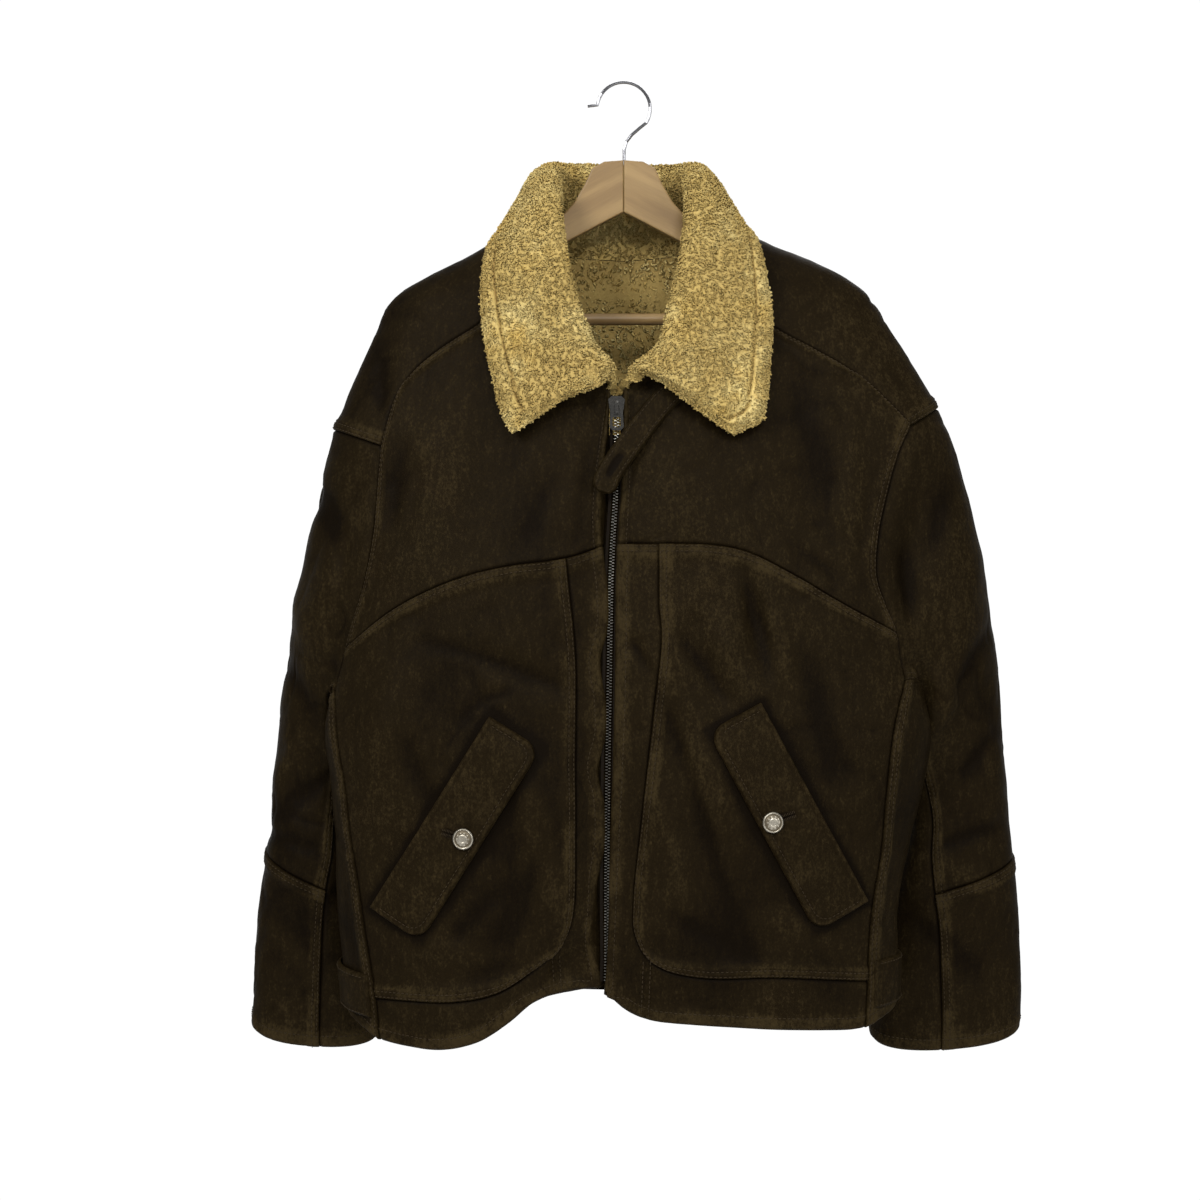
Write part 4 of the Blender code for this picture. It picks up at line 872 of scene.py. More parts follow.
# The left leather edge beside the zip is wavy and the right one leans over the teeth: how far each
# moves towards them, by height.
lipShift = {
    "left": table("height shift", (
        (-292, 0.5), (-430, -3.0), (-463, 3.6), (-512, 3.6), (-529, -1.0), (-575, 4.6), (-598, 5.0),
        (-638, -1.5), (-655, 3.2), (-672, 5.0), (-701, 4.6), (-735, -2.0), (-756, -3.6), (-792, -7.0),
        (-816, 1.0), (-840, 4.0))),
    "right": table("height shift", (
        (-292, -0.5), (-450, -2.4), (-570, -2.0), (-660, -3.4), (-720, -4.8), (-790, -6.0), (-840, -9.0))),
}


lipEnds = {"height": -836, "reach": 30}     # where that stops on a band


# The leather's edge beside the zip moved by its table, and less as a bell away from it.
def lipMove(side, height, away):
    rows = lipShift[side]
    shift = smooth(-rows["height"], rows["shift"], -height)
    return shift * bell(away, 14.0)


# A mesh object from points in millimetres and faces that all have as many corners.
def meshObject(name, points, faces, materials, faceMaterial=None, values=None):
    points = np.asarray(points, np.float32).reshape(-1, 3) * mm
    faces = np.asarray(faces, np.int32)
    mesh = bpy.data.meshes.new(name)
    mesh.vertices.add(len(points))
    mesh.vertices.foreach_set("co", points.ravel())
    mesh.loops.add(faces.size)
    mesh.loops.foreach_set("vertex_index", faces.ravel())
    mesh.polygons.add(len(faces))
    corners = faces.shape[1]
    mesh.polygons.foreach_set("loop_start", np.arange(0, faces.size, corners, dtype=np.int32))
    mesh.polygons.foreach_set("loop_total", np.full(len(faces), corners, np.int32))
    for material in materials:
        mesh.materials.append(material)
    if faceMaterial is not None:
        mesh.polygons.foreach_set("material_index", np.asarray(faceMaterial, np.int32))
    mesh.update(calc_edges=True)
    for key, value in (values or {}).items():
        layer = mesh.attributes.new(key, "FLOAT", "POINT")
        layer.data.foreach_set("value", np.asarray(value, np.float32).ravel())
    mesh.shade_smooth()
    made = bpy.data.objects.new(name, mesh)
    bpy.context.scene.collection.objects.link(made)
    return made


# Quads of a grid of rows by columns. Around joins the last column to the first.
def gridFaces(rows, columns, around=False):
    index = np.arange(rows * columns).reshape(rows, columns)
    if around:
        index = np.concatenate([index, index[:, :1]], axis=1)
    quads = np.stack([index[:-1, :-1], index[:-1, 1:], index[1:, 1:], index[1:, :-1]], axis=-1)
    return quads.reshape(-1, 4)


# A closed wall between two grids: the outer one, the inner one turned round, and a strip that
# joins their borders. Inside, the second material starts where the leather's turned edge ends.
def wallObject(name, outer, inner, materials, tone=None, turned=0.0, borders=allBorders):
    rows, columns = outer.shape[:2]
    count = rows * columns
    quads = gridFaces(rows, columns)
    index = np.arange(count).reshape(rows, columns)
    border = np.concatenate([index[0, :-1], index[:-1, -1], index[-1, :0:-1], index[:0:-1, 0]])
    onward = np.roll(border, -1)
    strip = np.stack([onward, border, border + count, onward + count], axis=-1)
    faces = np.concatenate([quads, quads[:, ::-1] + count, strip])
    facing = np.cross(outer[1:, 1:] - outer[:-1, :-1], outer[1:, :-1] - outer[:-1, 1:])
    if (facing * (outer - inner)[:-1, :-1]).sum() < 0:
        faces = faces[:, ::-1]
    away = borderDistances(outer)
    near = np.minimum.reduce([away[border] for border in borders])
    woolly = (near[:-1, :-1] >= turned).ravel()
    kind = np.concatenate([np.zeros(len(quads)), woolly, np.zeros(len(strip))])
    kind = kind if len(materials) > 1 else None
    tone = np.zeros(outer.shape[:2]) if tone is None else tone
    values = {"tone": np.concatenate([tone.ravel(), np.zeros(count)])}
    points = np.concatenate([outer.reshape(-1, 3), inner.reshape(-1, 3)])
    made = meshObject(name, points, faces, materials, kind, values)
    made.data.set_sharp_from_angle(angle=np.radians(55))
    return made


# The area of a grid in square metres: the lengths of its cells' cross products, added up.
def gridArea(points):
    across, down = points[:-1, 1:] - points[:-1, :-1], points[1:, :-1] - points[:-1, :-1]
    return np.linalg.norm(np.cross(across, down), axis=-1).sum() * mm * mm


# Attaches a piece to the jacket, hides the solids it stands for, and prints the sheet it is cut as.
def dress(piece, replaced=(), flat=None, area=None):
    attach(piece, "jacket")
    if replaced:
        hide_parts(*replaced)
    if flat is not None:
        width, length = flat
        area = min(area, width * length)
        print(f"sheet {piece.name}: {width:.3f} x {length:.3f} m, {area:.4f} m2")


threadRows = []           # points, directions, surface directions of every stitch


# Stitches along one border of a panel: each line of the grid is cut at the row's distance, and the
# cuts are joined and divided at the stitch's pitch.
def sewBorder(points, normals, border, rows, skip=(0, 0)):
    grid, out = points, normals
    if border in ("start", "end"):
        grid, out = grid.swapaxes(0, 1), out.swapaxes(0, 1)
    if border in ("bottom", "end"):
        grid, out = grid[::-1], out[::-1]
    grid, out = grid[:30], out[:30]
    steps = np.linalg.norm(np.diff(grid, axis=0), axis=-1)
    away = np.concatenate([np.zeros((1, grid.shape[1])), np.cumsum(steps, axis=0)])
    for row in rows:
        below = np.clip((away < row).sum(axis=0) - 1, 0, len(grid) - 2)
        column = np.arange(grid.shape[1])
        span = away[below + 1, column] - away[below, column]
        part = ((row - away[below, column]) / np.maximum(span, 1e-6))[:, None]
        line = grid[below, column] * (1 - part) + grid[below + 1, column] * part
        sewLine(line, out[below, column], skip)


# The stitches of all four borders of a panel.
def sewPanel(points, normals, kinds):
    for border, kind in zip(allBorders, kinds):
        sewBorder(points, normals, border, borderKinds[kind]["rows"])


# Stitches along a line at even steps of its length, each with the line's direction there.
def sewLine(line, up, skip=(0, 0)):
    length = runLength(line)
    at = np.arange(skip[0] + stitches["pitch"], length[-1] - skip[1], stitches["pitch"])
    if len(at) < 2:
        return
    ahead = between(at + 0.5, length, line)
    behind = between(at - 0.5, length, line)
    threadRows.append((between(at, length, line), unit(ahead - behind + 1e-9), unit(between(at, length, up))))


# One small shape at every place, as one mesh: its points lie along three directions of the place.
def repeatShape(name, places, directions, shape, faces, material):
    points = places[:, None] + sum(shape[:, k, None] * directions[k][:, None] for k in range(3))
    faces = np.array(faces)[None] + (np.arange(len(places)) * len(shape))[:, None, None]
    return meshObject(name, points, faces.reshape(-1, faces.shape[-1]), [material])


# All stitches as one mesh: a short grain with five sides, sunk at both ends.
def addStitches(name, rows, material):
    middle, along, up = (np.concatenate(part) for part in zip(*rows))
    side = unit(np.cross(along, up))
    up = np.cross(side, along)
    angle = np.linspace(0, 2 * np.pi, 5, endpoint=False)
    half, radius = stitches["length"] / 2, stitches["radius"]
    stations = [(-half, 0.0, -0.35), (-half * 0.62, 1.0, 0.05), (half * 0.62, 1.0, 0.05), (half, 0.0, -0.35)]
    shape = [(stations[0][0], 0, stations[0][2])]
    for where, size, lift in stations[1:3]:
        shape += [(where, radius * size * np.cos(a), lift + radius * size * np.sin(a)) for a in angle]
    shape += [(stations[3][0], 0, stations[3][2])]
    shape = np.array(shape)
    faces = []
    for k in range(5):
        n = (k + 1) % 5
        faces += [(0, 1 + n, 1 + k), (1 + k, 1 + n, 6 + n), (1 + k, 6 + n, 6 + k), (11, 6 + k, 6 + n)]
    return repeatShape(name, middle + stitches["lift"] * up, (along, side, up), shape, faces, material)


# A socket of a material's nodes that can be added to, multiplied and so on.
class Value:
    def __init__(self, shader, socket):
        self.shader = shader
        self.socket = socket

    def __add__(self, other):
        return self.shader.math("ADD", self, other)

    def __sub__(self, other):
        return self.shader.math("SUBTRACT", self, other)

    def __rsub__(self, other):
        return self.shader.math("SUBTRACT", other, self)

    def __mul__(self, other):
        return self.shader.math("MULTIPLY", self, other)

    __radd__ = __add__
    __rmul__ = __mul__


# A material whose nodes are made by one method, with the mixes and patterns that pieces share.
class Shader:
    def __init__(self, name, constants):
        self.material = bpy.data.materials.new(name)
        self.material.use_nodes = True
        self.tree = self.material.node_tree
        self.tree.nodes.clear()
        self.surface = self.tree.nodes.new("ShaderNodeBsdfPrincipled")
        output = self.tree.nodes.new("ShaderNodeOutputMaterial")
        self.tree.links.new(self.surface.outputs[0], output.inputs["Surface"])
        for socket, value in constants.items():
            self.surface.inputs[socket].default_value = value
        self.place = self.node("ShaderNodeTexCoord", {}, {}, "Object")

    # Adds a node, sets its settings, and fills its inputs with numbers, colours or other sockets.
    def node(self, kind, settings, inputs, output=0):
        made = self.tree.nodes.new(kind)
        for key, value in settings.items():
            setattr(made, key, value)
        for key, value in inputs.items():
            self.fill(made.inputs[key], value)
        return Value(self, made.outputs[output])

    # A number, a colour or another socket put into an input.
    def fill(self, socket, value):
        if isinstance(value, Value):
            self.tree.links.new(value.socket, socket)
        elif isinstance(value, tuple) and len(value) == 3 and socket.type == "RGBA":
            socket.default_value = (*value, 1.0)
        else:
            socket.default_value = value

    # An input of the surface itself.
    def set(self, name, value):
        self.fill(self.surface.inputs[name], value)

    def math(self, operation, first, second):
        return self.node("ShaderNodeMath", {"operation": operation}, {0: first, 1: second})

    def vector(self, operation, *inputs):
        return self.node("ShaderNodeVectorMath", {"operation": operation}, dict(enumerate(inputs)))

    # Noise of a cell size in millimetres.
    def noise(self, size, detail=2.0, rough=0.5, place=None):
        inputs = {"Vector": place or self.place, "Scale": 1000.0 / size, "Detail": detail, "Roughness": rough}
        return self.node("ShaderNodeTexNoise", {}, inputs)

    # Distance from the edges between random cells of a size in millimetres, from 0 on an edge.
    def cells(self, size, place=None):
        inputs = {"Vector": place or self.place, "Scale": 1000.0 / size}
        return self.node("ShaderNodeTexVoronoi", {"feature": "DISTANCE_TO_EDGE"}, inputs, "Distance")

    # Value stretched from one range to 0..1, and kept in it.
    def span(self, value, low, high):
        inputs = {"Value": value, "From Min": low, "From Max": high}
        return self.node("ShaderNodeMapRange", {"interpolation_type": "SMOOTHSTEP"}, inputs)

    # A colour between two others.
    def mix(self, share, first, second):
        return self.node("ShaderNodeMix", {"data_type": "RGBA"}, {0: share, 6: first, 7: second}, 2)

    # A value that the mesh's points carry.
    def attribute(self, name):
        return self.node("ShaderNodeAttribute", {"attribute_name": name}, {}, "Fac")

    # Places stretched along an axis.
    def stretched(self, scale):
        return self.node("ShaderNodeMapping", {}, {"Vector": self.place, "Scale": scale})

    # The surface tilted by a height in millimetres.
    def bump(self, height, millimetres, strength=1.0):
        inputs = {"Height": height, "Distance": millimetres * mm, "Strength": strength}
        self.set("Normal", self.node("ShaderNodeBump", {}, inputs))


# Worn dark brown leather: a fine pebble grain, flatter and lighter where rubbed, lighter still under painted
# highlights, with painted shade in its folds.
leatherLook = {
    # dark is painted shade in folds, and the crackle's own lines
    "dark": (0.0030, 0.0018, 0.0008),
    "base": (0.0085, 0.0054, 0.0019),
    "worn": (0.0265, 0.0182, 0.0072),
    "rough": 0.56,
    "grain": 0.22,
}


# Colours: base mixed with worn where tone and noises add up, which lays rubbed places and painted highlights,
# then with dark as painted shade in folds, furrows and under edges, and in the crackle. The height is
# pebbles, crackle and two noises.
def makeLeather():
    look = leatherLook
    made = Shader("jacket_leather", {"Specular IOR Level": 0.02})
    tone = made.attribute("tone")
    clouds = made.noise(70, 3.0, 0.55) - 0.5
    blotches = made.noise(14, 3.0, 0.6) - 0.5
    specks = made.noise(3.2, 2.0, 0.6) - 0.5
    swirls = made.node("ShaderNodeTexNoise", {}, {"Vector": made.place, "Scale": 130.0}, "Color")
    bent = made.vector("MULTIPLY_ADD", swirls, (0.005, 0.005, 0.005), made.place)
    crackle = made.span(made.cells(5.5, place=bent), 0.0, 0.16)
    pebble = made.span(made.cells(1.5), 0.0, 0.35)
    nap = made.noise(5, 3.0, 0.65, made.stretched((1.0, 1.0, 0.3))) - 0.5
    fineNap = made.noise(1.5, 2.0, 0.7, made.stretched((1.0, 1.0, 0.55))) - 0.5
    # rubbed places and painted light: the tone brings worn bands and painted highlights, and its painted
    # shade lowers this
    rubbedAndPaintedLight = tone * 0.6 + clouds * 0.4 + blotches * 0.35 + specks * 1.2 + nap * 1.5 + fineNap * 1.8
    worn = made.span(rubbedAndPaintedLight, -0.1, 1.2)
    # painted shade: where the tone is low, in folds, furrows and under edges, the colour turns towards dark
    deep = made.span(0.0 - tone * 1.15 - clouds * 0.7 - nap * 0.9 - fineNap * 1.4, 0.0, 1.1)
    color = made.mix(worn, look["base"], look["worn"])
    color = made.mix(deep * 0.85, color, look["dark"])
    color = made.mix((1.0 - crackle) * 0.12, color, look["dark"])
    made.set("Base Color", color)
    made.set("Roughness", look["rough"] + worn * 0.1 + specks * 0.22)
    fineGrain = made.noise(0.9, 2.0, 0.6)
    height = crackle * 0.1 + pebble * 0.16 + fineGrain * 0.2 + made.noise(9, 3.0, 0.6) * 1.2
    made.bump(height, look["grain"], 0.9)
    return made.material


# Clipped wool: golden brown, mottled, with a curly surface.
woolLook = {
    "root": (0.27, 0.178, 0.055),
    "middle": (0.43, 0.31, 0.105),
    "tip": (0.62, 0.50, 0.215),
    "amber": (0.58, 0.40, 0.115),
}


# The mesh's tone and patches of noise pick root, middle or tip. Where no locks are added, a fine curl noise
# raises its colour on the curls' tops and lowers it between them, as painted light and shade on the curls,
# and bumps it further.
def makeWool(name, tufted):
    made = Shader(name, {"Roughness": 0.9, "Specular IOR Level": 0.1})
    tone = made.attribute("tone")
    patches = made.noise(26, 2.0, 0.5) - 0.5
    curl = made.noise(2.6, 3.0, 0.7)
    level = tone + patches * 0.5
    if not tufted:
        # painted shade between the curls and lighter curl tops
        level = level + (curl - 0.5) * 0.9
    low = made.span(level, -0.55, 0.3)
    high = made.span(level, 0.2, 0.95)
    tip = made.mix(made.span(made.noise(40, 2.0, 0.6), 0.45, 0.68), woolLook["tip"], woolLook["amber"])
    color = made.mix(high, made.mix(low, woolLook["root"], woolLook["middle"]), tip)
    made.set("Base Color", color)
    made.bump(curl * 0.8 + made.noise(0.8, 2.0, 0.6) * 0.5, 0.5 if tufted else 1.6, 1.0)
    return made.material


# Looks of the small pieces: a darker and a paler colour each, and how rough the metals are.
threadLook = ((0.014, 0.0095, 0.0045), (0.035, 0.024, 0.012))
tapeLook = ((0.004, 0.003, 0.002), (0.011, 0.008, 0.0055))
woodLook = ((0.165, 0.098, 0.034), (0.255, 0.165, 0.064))
metalLooks = {
    "button_alloy": ((0.36, 0.33, 0.27), (0.12, 0.10, 0.07), 0.34),
    "zip_alloy": ((0.085, 0.082, 0.076), (0.022, 0.020, 0.017), 0.2),
    "zip_teeth_alloy": ((0.26, 0.25, 0.225), (0.07, 0.06, 0.05), 0.3),
    "hook_chrome": ((0.20, 0.20, 0.21), (0.10, 0.10, 0.105), 0.14),
}


# Dark thread, mottled by a noise.
def makeThread():
    made = Shader("thread", {"Roughness": 0.8, "Specular IOR Level": 0.08})
    made.set("Base Color", made.mix(made.noise(30), *threadLook))
    return made.material


# Metal that is dull in spots where a noise and the mesh's tone add up; on the buttons that tone is painted
# shade in the hollows and on the side of the rim.
def makeMetal(name, bright, dull, rough):
    made = Shader(name, {"Metallic": 1.0})
    spots = made.span(made.noise(9.0, 4.0, 0.65) + made.attribute("tone"), 0.42, 0.75)
    made.set("Base Color", made.mix(spots, bright, dull))
    made.set("Roughness", rough + spots * 0.2 + (made.noise(1.2) - 0.5) * 0.15)
    made.bump(made.noise(1.6, 3.0, 0.6), 0.06, 0.5)
    return made.material


# Dark cloth with fine ribs.
def makeTape():
    made = Shader("zip_tape_cloth", {"Roughness": 0.9, "Specular IOR Level": 0.04})
    weave = made.node("ShaderNodeTexWave", {"bands_direction": "Z"}, {"Vector": made.place, "Scale": 420.0})
    made.set("Base Color", made.mix(weave, *tapeLook))
    made.bump(weave, 0.2, 0.8)
    return made.material


# Pale varnished wood. The grain runs down each arm, or along the bar, so it is turned first, then
# stretched along it.
def makeWood(name, degrees, seed):
    made = Shader(name, {"Coat Roughness": 0.22, "Specular IOR Level": 0.3})
    made.set("Coat Weight", 0.03)
    grain = {"Vector": made.place, "Rotation": (0.0, np.radians(degrees), 0.0), "Location": (seed, 0.0, 0.0)}
    turned = made.node("ShaderNodeMapping", {}, grain)
    long = made.vector("MULTIPLY", turned, (0.07, 1.0, 1.0))
    veins = made.noise(5.0, 4.0, 0.6, long)
    fibres = made.noise(0.8, 3.0, 0.6, long)
    rings = made.span(made.noise(16, 1.0, 0.5, long), 0.3, 0.72)
    level = veins * 0.55 + fibres * 0.25 + rings * 0.35
    color = made.mix(made.span(level, 0.3, 0.85), *woodLook)
    made.set("Base Color", color)
    made.set("Roughness", 0.36 + fibres * 0.2)
    made.bump(fibres * 0.6 + veins * 0.4, 0.08, 0.5)
    return made.material


leather = makeLeather()
fleece = makeWool("clipped_wool", False)
locks = makeWool("wool_locks", True)
thread = makeThread()
buttonMetal, zipMetal, teethMetal, hookMetal = (makeMetal(name, *look) for name, look in metalLooks.items())
tapeCloth = makeTape()
print("materials made")

# Finish of each panel's top, bottom, start and end border.
panelBorders = {
    "chest": ("lap", "under", "lip", "lap"),
    "front": ("lap", "lap", "lap", "under"),
    "band": ("under", "hem", "lap", "under"),
    "side": ("plain", "hem", "lap", "under"),
    "shoulder": ("plain", "lap", "under", "under"),
    "back": ("lap", "hem", "lap", "lap"),
    "sleeve_top": ("under", "under", "lap", "lap"),
    "sleeve_forearm": ("lap", "hem", "lap", "lap"),
    "sleeve_under": ("plain", "hem", "under", "under"),
}

# Sleeve creases in the front view: long soft folds and short pulls.
sleeveCreases = table(lineColumns, (
    (1, -232, -548, -262, -574, 6, -3.6),   # left, under the arm
    (1, -262, -574, -262, -592, 5, -3.0),
    (1, -262, -592, -252, -604, 5, -2.4),
    (1, -300, -360, -262, -430, 12, -2.8),
    (1, -322, -450, -290, -520, 11, 2.4),
    (1, -330, -520, -280, -600, 10, -2.6),
    (1, -300, -610, -334, -660, 9, 2.2),
    (1, -270, -640, -330, -690, 8, -2.4),
    (1, -280, -716, -340, -700, 7, -2.2),
    (1, -256, -740, -300, -790, 8, -1.8),
    (1, -340, -780, -290, -830, 9, 1.8),
    (1, 262, -512, 280, -543, 8, 3.4),      # right, fold beside the body
    (1, 280, -543, 302, -576, 8, 3.8),
    (1, 302, -576, 284, -604, 8, 3.0),
    (1, 284, -604, 268, -668, 8, 2.4),
    (1, 256, -430, 262, -500, 9, -3.6),
    (1, 306, -360, 280, -440, 12, -2.6),
    (1, 330, -430, 306, -520, 12, 2.4),
    (1, 345, -500, 310, -560, 9, -2.6),
    (1, 352, -600, 312, -650, 9, -2.2),
    (1, 358, -690, 290, -712, 7, -2.4),
    (1, 300, -730, 362, -760, 8, 1.8),
    (1, 262, -770, 330, -830, 9, -1.8),
    (-1, -300, -380, -260, -520, 13, -3.0),
    (-1, -330, -560, -270, -640, 11, -2.8),
    (-1, -340, -700, -262, -730, 8, -2.6),
    (-1, -262, -780, -330, -840, 9, 2.0),
    (-1, 320, -380, 276, -520, 13, -3.0),
    (-1, 350, -560, 290, -640, 11, -2.8),
    (-1, 364, -700, 282, -730, 8, -2.6),
    (-1, 268, -780, 350, -840, 9, 2.0),
))

# The short seam that closes each band below its round corner, as the front view shows it.
bandSeams = {"left": ((-62, -796), (-60, -832)), "right": ((20, -799), (18, -852))}


# Adds seams, folds and wrinkles to a panel's smooth surface: the border bands first, then the creases, which
# are weaker on the bands because they are stiffer. Gives the surface, its tone, and the level that the wall's
# inner face follows. The tone holds the borders' worn bands, painted highlights and painted shade, and
# painted shade in the folds' valleys, with the folds' ridges lighter.
def addRelief(base, normals, kinds, lines, strength=1.0):
    away = borderDistances(base)
    face = np.where(normals[..., 1] < 0, 1, -1)
    folds = lineRelief(lines, face, base[..., 0], base[..., 2]) + wrinkles(base, strength)
    stiff, height, tone = np.ones(face.shape), np.zeros(face.shape), np.zeros(face.shape)
    for border, kind in zip(allBorders, kinds):
        lift, shade = borderRelief(kind, away[border], base)
        height = height + lift
        # the border's tone: worn bands, painted highlights and painted shade
        tone = tone + 1.7 * shade
        if kind != "plain":
            stiff = stiff * (0.35 + 0.65 * ease(away[border] / 16))
    height = height + stiff * folds
    # painted shade in the folds' valleys, lighter on their ridges
    tone = tone + np.clip(folds / 3.4, -0.75, 0.4)
    return base + height[..., None] * normals, tone, base + (np.minimum(height, 0) * 0.9)[..., None] * normals


flap = {"length": 205.0, "width": 54.0, "corner": 16.0, "thick": 5.0, "gap": 0.8, "stitch": 6.0}
strap = {"width": 23.0, "thick": 4.5, "gap": 0.4, "stitch": 3.6, "slit": (-22, -9)}   # places on its line
tab = {"thick": 4.0, "gap": 0.8, "stitch": 4.5}
slits = {"left": ((-145, -691), (-161, -686)), "right": ((133, -676), (150, -670))}


# In the front view: the middle of a flap's sewn edge, the direction along it and the one across.
def flapFrame(side):
    start, end = (np.array(flapEnds[side][key], float) for key in ("start", "end"))
    along = unit(end - start)
    across = np.array([along[1], -along[0]]) * (1 if side == "left" else -1)
    return (start + end) / 2, along, across


# Painted shadow on the front panel along the outline of its flap: a bell of the distance outside.
def flapShadow(side, x, z):
    middle, along, across = flapFrame(side)
    x, z = x - middle[0], z - middle[1]
    run, out = x * along[0] + z * along[1], x * across[0] + z * across[1]
    beyond = np.maximum(np.abs(run) - flap["length"] / 2, 0)
    outside = np.hypot(beyond, np.maximum(np.maximum(out - flap["width"], -out), 0))
    return bell(outside, 6.0)


# A body panel: its surface between its seams, relief, the wall inwards, the seams' stitches. The
# wall is thinner near the armpits, a bell of the distance. Only the back has no side.
def addBodyPanel(name, edges, kinds, armpits, side=None):
    behind = side is None
    step = skin["backStep"] if behind else skin["step"]
    turned = fromBehind if behind else (lambda places: places)
    wide = max(pathLength(turned(edges[0])), pathLength(turned(edges[1])))
    tall = max(pathLength(turned(edges[2])), pathLength(turned(edges[3])))
    places = turned(fill(edges, spaced(wide, step), spaced(tall, step)))
    height = places[..., 1]
    base = bodySurface(places[..., 0], height)
    normals = bodyNormal(places[..., 0], height)
    outer, tone, sunk = addRelief(base, normals, kinds, creases)
    away = borderDistances(base)
    if name.startswith("front"):
        # painted shadow round the pocket flap
        tone = tone - 1.3 * flapShadow(side, base[..., 0], base[..., 2])
    if kinds[2] == "lip":
        outer[..., 0] += lipMove(side, height, away["start"])
    if name.startswith("band"):
        apart = np.abs(base[..., 0] - zipX(base[..., 2]))
        besideZip = (height > lipEnds["height"]) * (apart < lipEnds["reach"])
        outer[..., 0] += lipMove(side, height, away["bottom"]) * besideZip
        (x0, z0), (x1, z1) = bandSeams[side]
        groove = table(lineColumns, ((1, x0, z0, x1, z1, 2.2, -3.4),))
        outer = outer + lineRelief(groove, 1, base[..., 0], base[..., 2])[..., None] * normals
        for shift in (-3.2, 3.2):
            sewPlaces(np.linspace(x0, x1, 20) + shift, np.linspace(z0, z1, 20), 0.3)
    apart = np.linalg.norm(base[:, :, None] - armpits, axis=-1).min(axis=-1)
    deep = skin["wall"] * (1 - 0.75 * bell(apart, 30))
    inner = sunk - deep[..., None] * normals
    inner = inner + (0.8 * noise(base, 6.0, 31) + 0.5 * noise(base, 3.0, 32))[..., None] * normals
    borders = ("bottom",) if name.startswith(("back", "shoulder")) else allBorders
    edge = skin["turned"] * (2 if behind else 1)
    piece = wallObject(name, outer, inner, [leather, fleece], tone, edge, borders)
    sewPanel(outer, normals, kinds)
    dress(piece, [name], flat=(wide * mm, tall * mm), area=gridArea(base))
    return base, normals


# The three pieces of a sleeve, which share one surface. The wall is thin at the armhole and thick
# at the cuff, where its cut edge shows.
def addSleeve(side, ring):
    start, last = seamBack - len(ring), len(sleeveRows[side]["half"]) - 1
    parts = (
        ("sleeve_top", 0, elbowRing, start, seamFront),
        ("sleeve_forearm", elbowRing, last, start, seamFront),
        ("sleeve_under", 0, last, seamFront, seamBack),
    )
    for part, top, bottom, start, end in parts:
        rough, _ = sleeveSurface(side, ring, np.linspace(top, bottom, 9), np.linspace(start, end, 40))
        wide, tall = gridSpans(rough)
        rowsAt = top + (bottom - top) * spaced(tall, skin["step"])
        columns = start + (end - start) * spaced(wide, skin["step"])
        base, share = sleeveSurface(side, ring, rowsAt, columns)
        normals = gridNormals(base, base - sleeveAxis(side, rowsAt)[:, None])
        outer, tone, sunk = addRelief(base, normals, panelBorders[part], sleeveCreases, 1.15)
        deep = 3.0 + (skin["wall"] - 3.0) * ease((share - 0.6) / 0.25)
        inner = sunk - deep[..., None] * normals
        inner = inner + (0.7 * noise(base, 6.0, 31) * ease((share - 0.7) / 0.2))[..., None] * normals
        name = f"{part}_{side}"
        piece = wallObject(name, outer, inner, [leather, fleece], tone, skin["turned"])
        sewPanel(outer, normals, panelBorders[part])
        dress(piece, [name], flat=(wide * mm, tall * mm), area=gridArea(base))


# A piece laid on the body: its places moved out by the gap and its thickness, with soft edges, furrows where
# its stitches run, and a button slit where one is given. Its tone is lighter in a worn band near the edge,
# with painted shade in the stitch furrow and along the slit, and the slit's puckers painted lighter where
# they rise and darker where they sink.
def addLaid(name, places, away, size, detail=True, slit=None, flat=None):
    base = bodySurface(places[..., 0], places[..., 1], detail)
    normals = bodyNormal(places[..., 0], places[..., 1], detail)
    height = size["gap"] + size["thick"] + 0.5 * noise(base, 26, 41) + 0.3 * noise(base, 9, 42)
    height = height - 0.75 * size["thick"] * (1 - ease(away / 2.6)) ** 2
    worn = 0.55 * bell(away - 3.0, 2.0) * (0.6 + 0.4 * noise(base, 14, 43))
    furrow = bell(away - size["stitch"], 1.2)
    pucker = 0.35 * noise(base, 6.5, 44) * bell(away - size["stitch"], 3.5)
    height = height - 0.6 * furrow + pucker
    # painted shade in the stitch furrow; the band by the edge is worn
    tone = 0.25 + 0.25 * noise(base, 20, 46) + worn - 0.35 * furrow
    if slit is not None:
        (x0, z0), (x1, z1) = slit
        x, z = base[..., 0], base[..., 2]
        cut = table(lineColumns, ((1, x0, z0, x1, z1, 1.9, -3.2), (1, x0, z0, x1, z1, 7, 1.3)))
        # painted shade along the slit
        dark = table(lineColumns, ((1, x0, z0, x1, z1, 2.4, -2.6),))
        star = noise(base, 9, 45) * bell(np.hypot(x - x0, z - z0), 22)
        height = height + lineRelief(cut, 1, x, z) + 1.1 * star
        # the puckers painted lighter where they rise and darker where they sink
        tone = tone + 0.4 * star + lineRelief(dark, 1, x, z)
    outer = base + height[..., None] * normals
    piece = wallObject(name, outer, base + size["gap"] * normals, [leather], tone)
    dress(piece, [name], flat=flat, area=gridArea(base))
    return outer, normals


# Stitches along a line of places in the front view, at a height above the body.
def sewPlaces(x, z, height, detail=True):
    at = placeOn(x, z)
    up = bodyNormal(at[:, 0], at[:, 1], detail)
    sewLine(bodySurface(at[:, 0], at[:, 1], detail) + height * up, up)


# Half the width of a band at a distance from its round end: a quarter circle, then straight.
def roundedHalf(distance, half, radius):
    inside = np.clip(radius - distance, 0.0, radius)
    return half - radius + np.sqrt(radius**2 - inside**2)


# Front-view places on a flap: -1 to 1 along it, 0 to 1 from its sewn edge.
def flapPlaces(side, lengthwise, crosswise):
    middle, along, across = flapFrame(side)
    half = roundedHalf((1 - crosswise) * flap["width"], flap["length"] / 2, flap["corner"])
    place = middle + (lengthwise * half)[..., None] * along
    return place + (crosswise * flap["width"])[..., None] * across, half


